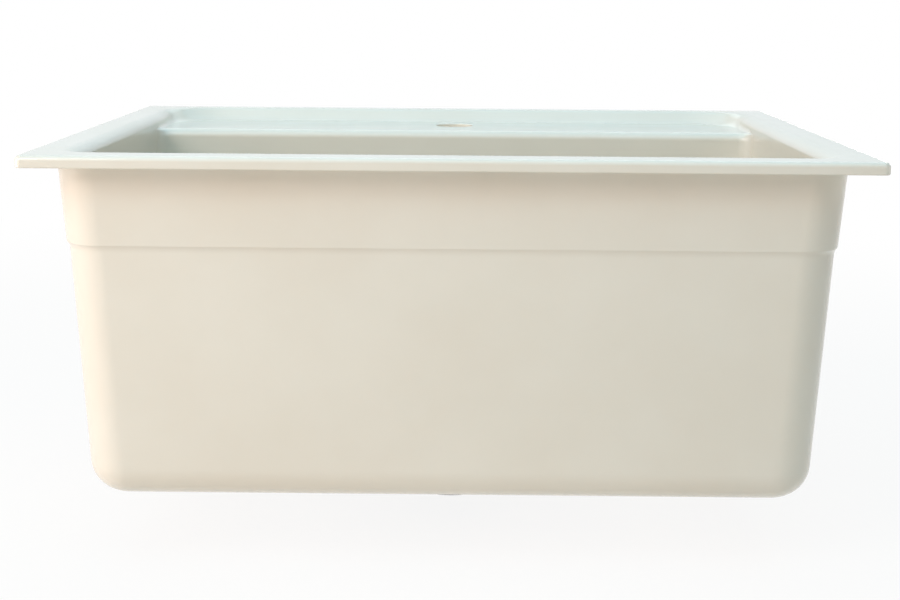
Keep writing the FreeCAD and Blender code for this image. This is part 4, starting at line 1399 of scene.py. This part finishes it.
@dataclass(frozen=True)
class Basket:
    """The lift-out basket: its perforated cup and the bush in its floor."""

    rim_r: float = 43.4
    rim_z: float = -243.5
    sheet: float = 0.8
    shoulder_r: float = 38.5
    wall_top_r: float = 36.0
    shoulder_z: float = -246.3
    wall_low_r: float = 31.0
    heel_z: float = -260.7
    floor_r: float = 29.5
    floor_z: float = -262.2
    bush_r: float = 6.25
    hole_r: float = 1.6
    rings: int = 3
    first_ring: float = 12.5
    ring_step: float = 6.0
    first_count: int = 10
    more: int = 6
    wall_rows: int = 2
    wall_count: int = 20
    wall_reach: float = 34.0
    wall_cut: float = 9.0
    collar_r: float = 9.0
    collar: float = 1.0
    bush_low: float = -264.0
    bush_top: float = -256.2
    bore_r: float = 3.58
    groove: float = 0.7

    def cup(self, shop: Workshop) -> None:
        """The pressed cup with its rings and rows of holes."""
        line = pressed_line([
            (self.rim_r - self.sheet / 4, self.rim_z, 0),
            (self.shoulder_r, self.rim_z, 1.2),
            (self.wall_top_r, self.shoulder_z, 1.2),
            (self.wall_low_r, self.heel_z, 1.6),
            (self.floor_r, self.floor_z, 1.6),
            (self.bush_r, self.floor_z, 0),
        ], self.sheet)
        piece = turned_piece("perforated_basket", line, pieces=120)
        steel = shop.finishes[PRESSED.name]
        for ring in range(self.rings):
            grown(piece, shop.cuts, steel, Count=self.first_count + ring * self.more,
                  Reach=(self.first_ring + ring * self.ring_step) * MM, Radius=self.hole_r * MM,
                  Depth=4 * self.sheet * MM, Height=(self.floor_z - self.sheet / 2) * MM, Length=0.0)
        for row in range(self.wall_rows):
            height = self.heel_z + (row + 1) * (self.shoulder_z - self.heel_z) / (self.wall_rows + 1)
            grown(piece, shop.cuts, steel, Count=self.wall_count, Reach=self.wall_reach * MM,
                  Radius=self.hole_r * MM, Depth=self.wall_cut * MM, Height=height * MM, Lean=math.pi / 2,
                  Length=0.0, Start=row * math.pi / self.wall_count)
        shop.hand_over(creased(piece), DRAIN_PLACE, PRESSED, "basket_cup", Body.BASKET)

    def bush(self, shop: Workshop) -> None:
        """The guide bush with its two collars and the groove for the ring."""
        under = self.floor_z - self.sheet
        middle = (self.floor_z + self.bush_top) / 2
        deep = self.bore_r + 2 * self.groove
        section = rounded_line([
            (self.bore_r, middle - 2, 0), (self.bore_r, self.bush_low, 0.3), (self.collar_r, self.bush_low, 0.35),
            (self.collar_r, under, 0.2), (self.bush_r - 0.05, under, 0), (self.bush_r - 0.05, self.floor_z, 0),
            (self.collar_r, self.floor_z, 0.2), (self.collar_r, self.floor_z + self.collar, 0.35),
            (self.bush_r - 0.05, self.floor_z + self.collar, 0.4), (self.bush_r - 0.05, self.bush_top, 0.5),
            (self.bore_r, self.bush_top, 0.3), (self.bore_r, middle + self.groove, 0),
            (deep, middle + self.groove, 0), (deep, middle - self.groove, 0), (self.bore_r, middle - self.groove, 0),
        ], 4)
        piece = turned_piece("guide_bush", section, pieces=64)
        shop.hand_over(creased(piece), DRAIN_PLACE, BUSH_PLASTIC, "basket_bush", Body.BASKET)

    def build(self, shop: Workshop) -> None:
        """Build cup and bush."""
        self.cup(shop)
        self.bush(shop)


@dataclass(frozen=True)
class Plunger:
    """The plunger: turned knob, stem and rubber stopper."""

    knob_low: float = -255.6
    knob_height: float = 14.0
    foot_r: float = 6.5
    foot: float = 1.6
    waist_r: float = 5.0
    head_r: float = 11.0
    head: float = 5.0
    taper: float = 3.2
    side_drop: float = 1.6
    stem_r: float = 3.5
    stem_foot_z: float = -276.3
    shoulder_z: float = -269.8
    stem_thread_r: float = 2.0
    stem_top_r: float = 2.5
    stem_top: float = 7.0
    stopper_r: float = 30.0
    skirt_r: float = 26.0
    web_z: float = -273.8
    web: float = 3.0
    skirt_z: float = -276.8
    stopper_bore: float = 2.03

    def knob(self, shop: Workshop) -> None:
        """The knob with its foot, waist and domed head."""
        top = self.knob_low + self.knob_height
        head_low = top - self.head - self.side_drop
        line = rounded_line([
            (0, self.knob_low + self.stem_top, 0), (self.stem_top_r + 0.03, self.knob_low + self.stem_top, 0),
            (self.stem_top_r + 0.03, self.knob_low, 0), (self.foot_r, self.knob_low, 0.5),
            (self.foot_r, self.knob_low + self.foot, 0.6),
            (self.waist_r, self.knob_low + self.foot + self.taper, 2.2),
            (self.waist_r, head_low, 1.2), (self.head_r, head_low + self.taper, 0.8),
            (self.head_r, top - self.side_drop, 1.0), (self.head_r * 0.75, top - 0.6, 4.0),
            (self.head_r * 0.4, top, 3.0), (0, top, 0),
        ], 6)
        piece = turned_piece("turned_knob", line, closed=False)
        shop.hand_over(creased(piece, 60.0), DRAIN_PLACE, CHROME, "basket_knob", Body.PLUNGER)

    def stem(self, shop: Workshop) -> None:
        """The rod with its shoulder and turned ends."""
        line = rounded_line([
            (0, self.stem_foot_z, 0), (self.stem_thread_r, self.stem_foot_z, 0.4),
            (self.stem_thread_r, self.shoulder_z, 0), (self.stem_r, self.shoulder_z, 0.3),
            (self.stem_r, self.knob_low, 0.2), (self.stem_top_r, self.knob_low, 0),
            (self.stem_top_r, self.knob_low + self.stem_top, 0.4), (0, self.knob_low + self.stem_top, 0),
        ], 4)
        piece = turned_piece("turned_stem", line, closed=False, pieces=48)
        shop.hand_over(creased(piece), DRAIN_PLACE, TURNED, "basket_stem", Body.PLUNGER)

    def stopper(self, shop: Workshop) -> None:
        """The rubber stopper with its thin skirt."""
        section = rounded_line([
            (self.stopper_bore, self.web_z + self.web / 2, 0), (self.stopper_bore, self.web_z, 0.2),
            (self.skirt_r, self.web_z, 1.0), (self.skirt_r + 0.3, self.skirt_z, 0.4),
            (self.stopper_r, self.skirt_z, 0.6), (self.stopper_r, self.web_z, 2.0),
            (self.skirt_r, self.web_z + self.web, 2.0), (self.stopper_bore, self.web_z + self.web, 0.2),
        ], 5)
        piece = turned_piece("rubber_stopper", section)
        shop.hand_over(creased(piece, 60.0), DRAIN_PLACE, BLACK_RUBBER, "stopper_seal", Body.PLUNGER)

    def build(self, shop: Workshop) -> None:
        """Build knob, stem and stopper."""
        self.knob(shop)
        self.stem(shop)
        self.stopper(shop)


# ---------------------------------------------------------------- studio
SINK_MIDDLE = (0.0, -0.1, -0.12)
RIM_MIDDLE = (0.0, 0.0, 0.0)


@dataclass(frozen=True)
class Lamp:
    """A soft area lamp: its place, the point that it faces and its size in metres, power in watts and colour."""

    name: str
    place: Spot
    aim: Spot
    size: Flat
    power: float
    colour: Colour

    def hang(self) -> None:
        """Hang the lamp in the scene."""
        data = bpy.data.lights.new(self.name, "AREA")
        data.shape = "RECTANGLE"
        data.size, data.size_y = self.size
        data.energy = self.power
        data.color = self.colour
        made = bpy.data.objects.new(self.name, data)
        made.location = self.place
        made.rotation_euler = (Vector(self.aim) - Vector(self.place)).to_track_quat("-Z", "Y").to_euler()
        bpy.context.scene.collection.objects.link(made)


LAMPS = (
    Lamp("left", (-2.2, -0.6, 0.1), SINK_MIDDLE, (1.2, 1.2), 26.0, (1.0, 0.89, 0.86)),
    Lamp("high_left", (-1.2, -1.5, 1.1), SINK_MIDDLE, (1.0, 1.0), 20.0, (1.0, 0.99, 0.98)),
    Lamp("low_left", (-1.3, -1.6, 0.3), SINK_MIDDLE, (1.1, 1.1), 5.2, (1.0, 0.58, 0.35)),
    Lamp("right", (2.2, -0.4, 0.3), SINK_MIDDLE, (1.2, 1.2), 8.2, (1.0, 0.92, 0.82)),
    Lamp("high_front", (0.0, -1.2, 1.8), RIM_MIDDLE, (2.2, 1.2), 18.2, (0.52, 0.85, 1.0)),
    Lamp("top", (0.0, 0.3, 2.0), RIM_MIDDLE, (2.4, 1.8), 20.0, (0.42, 0.78, 1.0)),
    Lamp("high_back", (0.2, 1.7, 1.3), SINK_MIDDLE, (2.2, 0.9), 7.0, (0.86, 0.96, 1.0)),
    Lamp("low_back", (0.3, 2.2, -0.14), SINK_MIDDLE, (1.8, 0.28), 20.0, (1.0, 0.95, 0.88)),
)


@dataclass(frozen=True)
class Studio:
    """The floor, the lamps, the white surrounding and the camera."""

    camera_at: Spot = (5.7, -1259.0, 123.3)
    yaw: float = 0.0061
    pitch: float = 0.2047
    roll: float = 0.0079
    focal_px: float = 1491.0
    image_width: int = 900
    floor_z: float = -311.5
    floor_reach: float = 8.0
    floor_glow: float = 0.9
    shade_near: float = 0.5
    shade_far: float = 1.8
    floor_colour: Colour = (0.92, 0.86, 0.8)
    soft_world: float = 0.04

    def camera(self) -> bpy.types.Object:
        """Place the camera and make it the scene's own."""
        ahead = Vector((-math.sin(self.yaw) * math.cos(self.pitch),
                        math.cos(self.yaw) * math.cos(self.pitch), -math.sin(self.pitch)))
        level = Vector((math.cos(self.yaw), math.sin(self.yaw), 0))
        upright = level.cross(ahead)
        right = level * math.cos(self.roll) + upright * math.sin(self.roll)
        up = upright * math.cos(self.roll) - level * math.sin(self.roll)
        lens = bpy.data.cameras.new("camera")
        lens.sensor_fit = "HORIZONTAL"
        lens.sensor_width = 36.0
        lens.lens = self.focal_px / self.image_width * lens.sensor_width
        lens.clip_end = 20.0
        made = bpy.data.objects.new("camera", lens)
        place = Matrix((right, up, -ahead)).transposed().to_4x4()
        place.translation = Vector(self.camera_at) * MM
        made.matrix_world = place
        bpy.context.scene.collection.objects.link(made)
        bpy.context.scene.camera = made
        return made

    def seen(self, nodes: Nodes) -> bpy.types.NodeSocket:
        """What tells the camera's view and reflections from the light that falls on the sink.

        Args:
            nodes: The node tree to add to.

        Returns:
            A socket that is 1 for camera, glossy and transmission rays and 0 for the rest.
        """
        path = nodes.add("ShaderNodeLightPath")
        direct = nodes.add("ShaderNodeMath", {0: path.outputs["Is Camera Ray"], 1: path.outputs["Is Glossy Ray"]},
                           operation="MAXIMUM")
        either = nodes.add("ShaderNodeMath", {0: direct.outputs[0], 1: path.outputs["Is Transmission Ray"]},
                           operation="MAXIMUM")
        return either.outputs[0]

    def surrounding(self) -> None:
        """A soft world that is white to the camera and in reflections."""
        world = bpy.data.worlds.new("studio")
        world.use_nodes = True
        world.node_tree.nodes.clear()
        nodes = Nodes(world.node_tree)
        soft = nodes.add("ShaderNodeBackground", {"Color": (1, 1, 1, 1), "Strength": self.soft_world})
        white = nodes.add("ShaderNodeBackground", {"Color": (1, 1, 1, 1), "Strength": 1.0})
        mix = nodes.add("ShaderNodeMixShader", {0: self.seen(nodes), 1: soft.outputs[0], 2: white.outputs[0]})
        nodes.add("ShaderNodeOutputWorld", {"Surface": mix.outputs[0]})
        bpy.context.scene.world = world

    def floor(self) -> bpy.types.Object:
        """A wide pale floor that shows white and keeps the sink's shadow."""
        mesh = bpy.data.meshes.new("floor")
        reach = self.floor_reach
        z = self.floor_z * MM
        mesh.from_pydata([(-reach, -reach, z), (reach, -reach, z), (reach, reach, z), (-reach, reach, z)], [],
                         [(0, 1, 2, 3)])
        made = bpy.data.objects.new("floor", mesh)
        material = bpy.data.materials.new("floor")
        material.use_nodes = True
        material.node_tree.nodes.clear()
        nodes = Nodes(material.node_tree)
        matt = nodes.add("ShaderNodeBsdfDiffuse", {"Color": (*self.floor_colour, 1)})
        white = nodes.add("ShaderNodeEmission", {"Color": (1, 1, 1, 1), "Strength": 1.0})
        place = nodes.add("ShaderNodeTexCoord")
        away = nodes.add("ShaderNodeVectorMath", {0: place.outputs["Object"]}, operation="LENGTH")
        fade = nodes.add("ShaderNodeMapRange", {
            "Value": away.outputs["Value"], "From Min": self.shade_near, "From Max": self.shade_far,
            "To Min": self.floor_glow, "To Max": 1.0}, interpolation_type="SMOOTHSTEP")
        share = nodes.add("ShaderNodeMath", {0: self.seen(nodes), 1: fade.outputs["Result"]}, operation="MULTIPLY")
        mix = nodes.add("ShaderNodeMixShader", {0: share.outputs[0], 1: matt.outputs[0], 2: white.outputs[0]})
        nodes.add("ShaderNodeOutputMaterial", {"Surface": mix.outputs[0]})
        mesh.materials.append(material)
        bpy.context.scene.collection.objects.link(made)
        return made

    def build(self) -> None:
        """Set up camera, floor, lamps and surrounding."""
        self.camera()
        self.floor()
        self.surrounding()
        for lamp in LAMPS:
            lamp.hang()
        bpy.context.scene.view_settings.view_transform = "Standard"


def dress_frame(finishes: dict[str, bpy.types.Material]) -> None:
    """Give the nodes that stay as they are their finishes.

    Args:
        finishes: The materials by name.
    """
    wanted = {
        "flange_seal": GREY_RUBBER,
        "screw_washer": TURNED,
        "body_insert": BRASS,
        "outlet_washer": GREY_RUBBER,
        "stem_ring": BLACK_RUBBER,
        "stopper_washer": TURNED,
        "stopper_nut": TURNED,
    }
    for node, finish in wanted.items():
        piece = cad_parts[node]
        piece.data.materials.clear()
        piece.data.materials.append(finishes[finish.name])
        log.info("%s: %s", node, finish.name)


def main() -> None:
    """Build the studio and the sink."""
    logging.basicConfig(level=logging.INFO, format="%(name)s: %(message)s")
    Studio().build()
    effects = SharedEffects()
    finishes = {finish.name: finish.material(effects) for finish in FINISHES}
    shop = Workshop(finishes, repeat_round(Meeting.CUT), repeat_round(Meeting.ADD), thread_round())
    basin = Basin().build(finishes[CREAM.name])
    log.info("%s: %d faces", basin.name, len(basin.data.polygons))
    for part in (WasteFitting(), OutletPipe(), Basket(), Plunger()):
        part.build(shop)
    dress_frame(finishes)


if __name__ == "__main__":
    main()
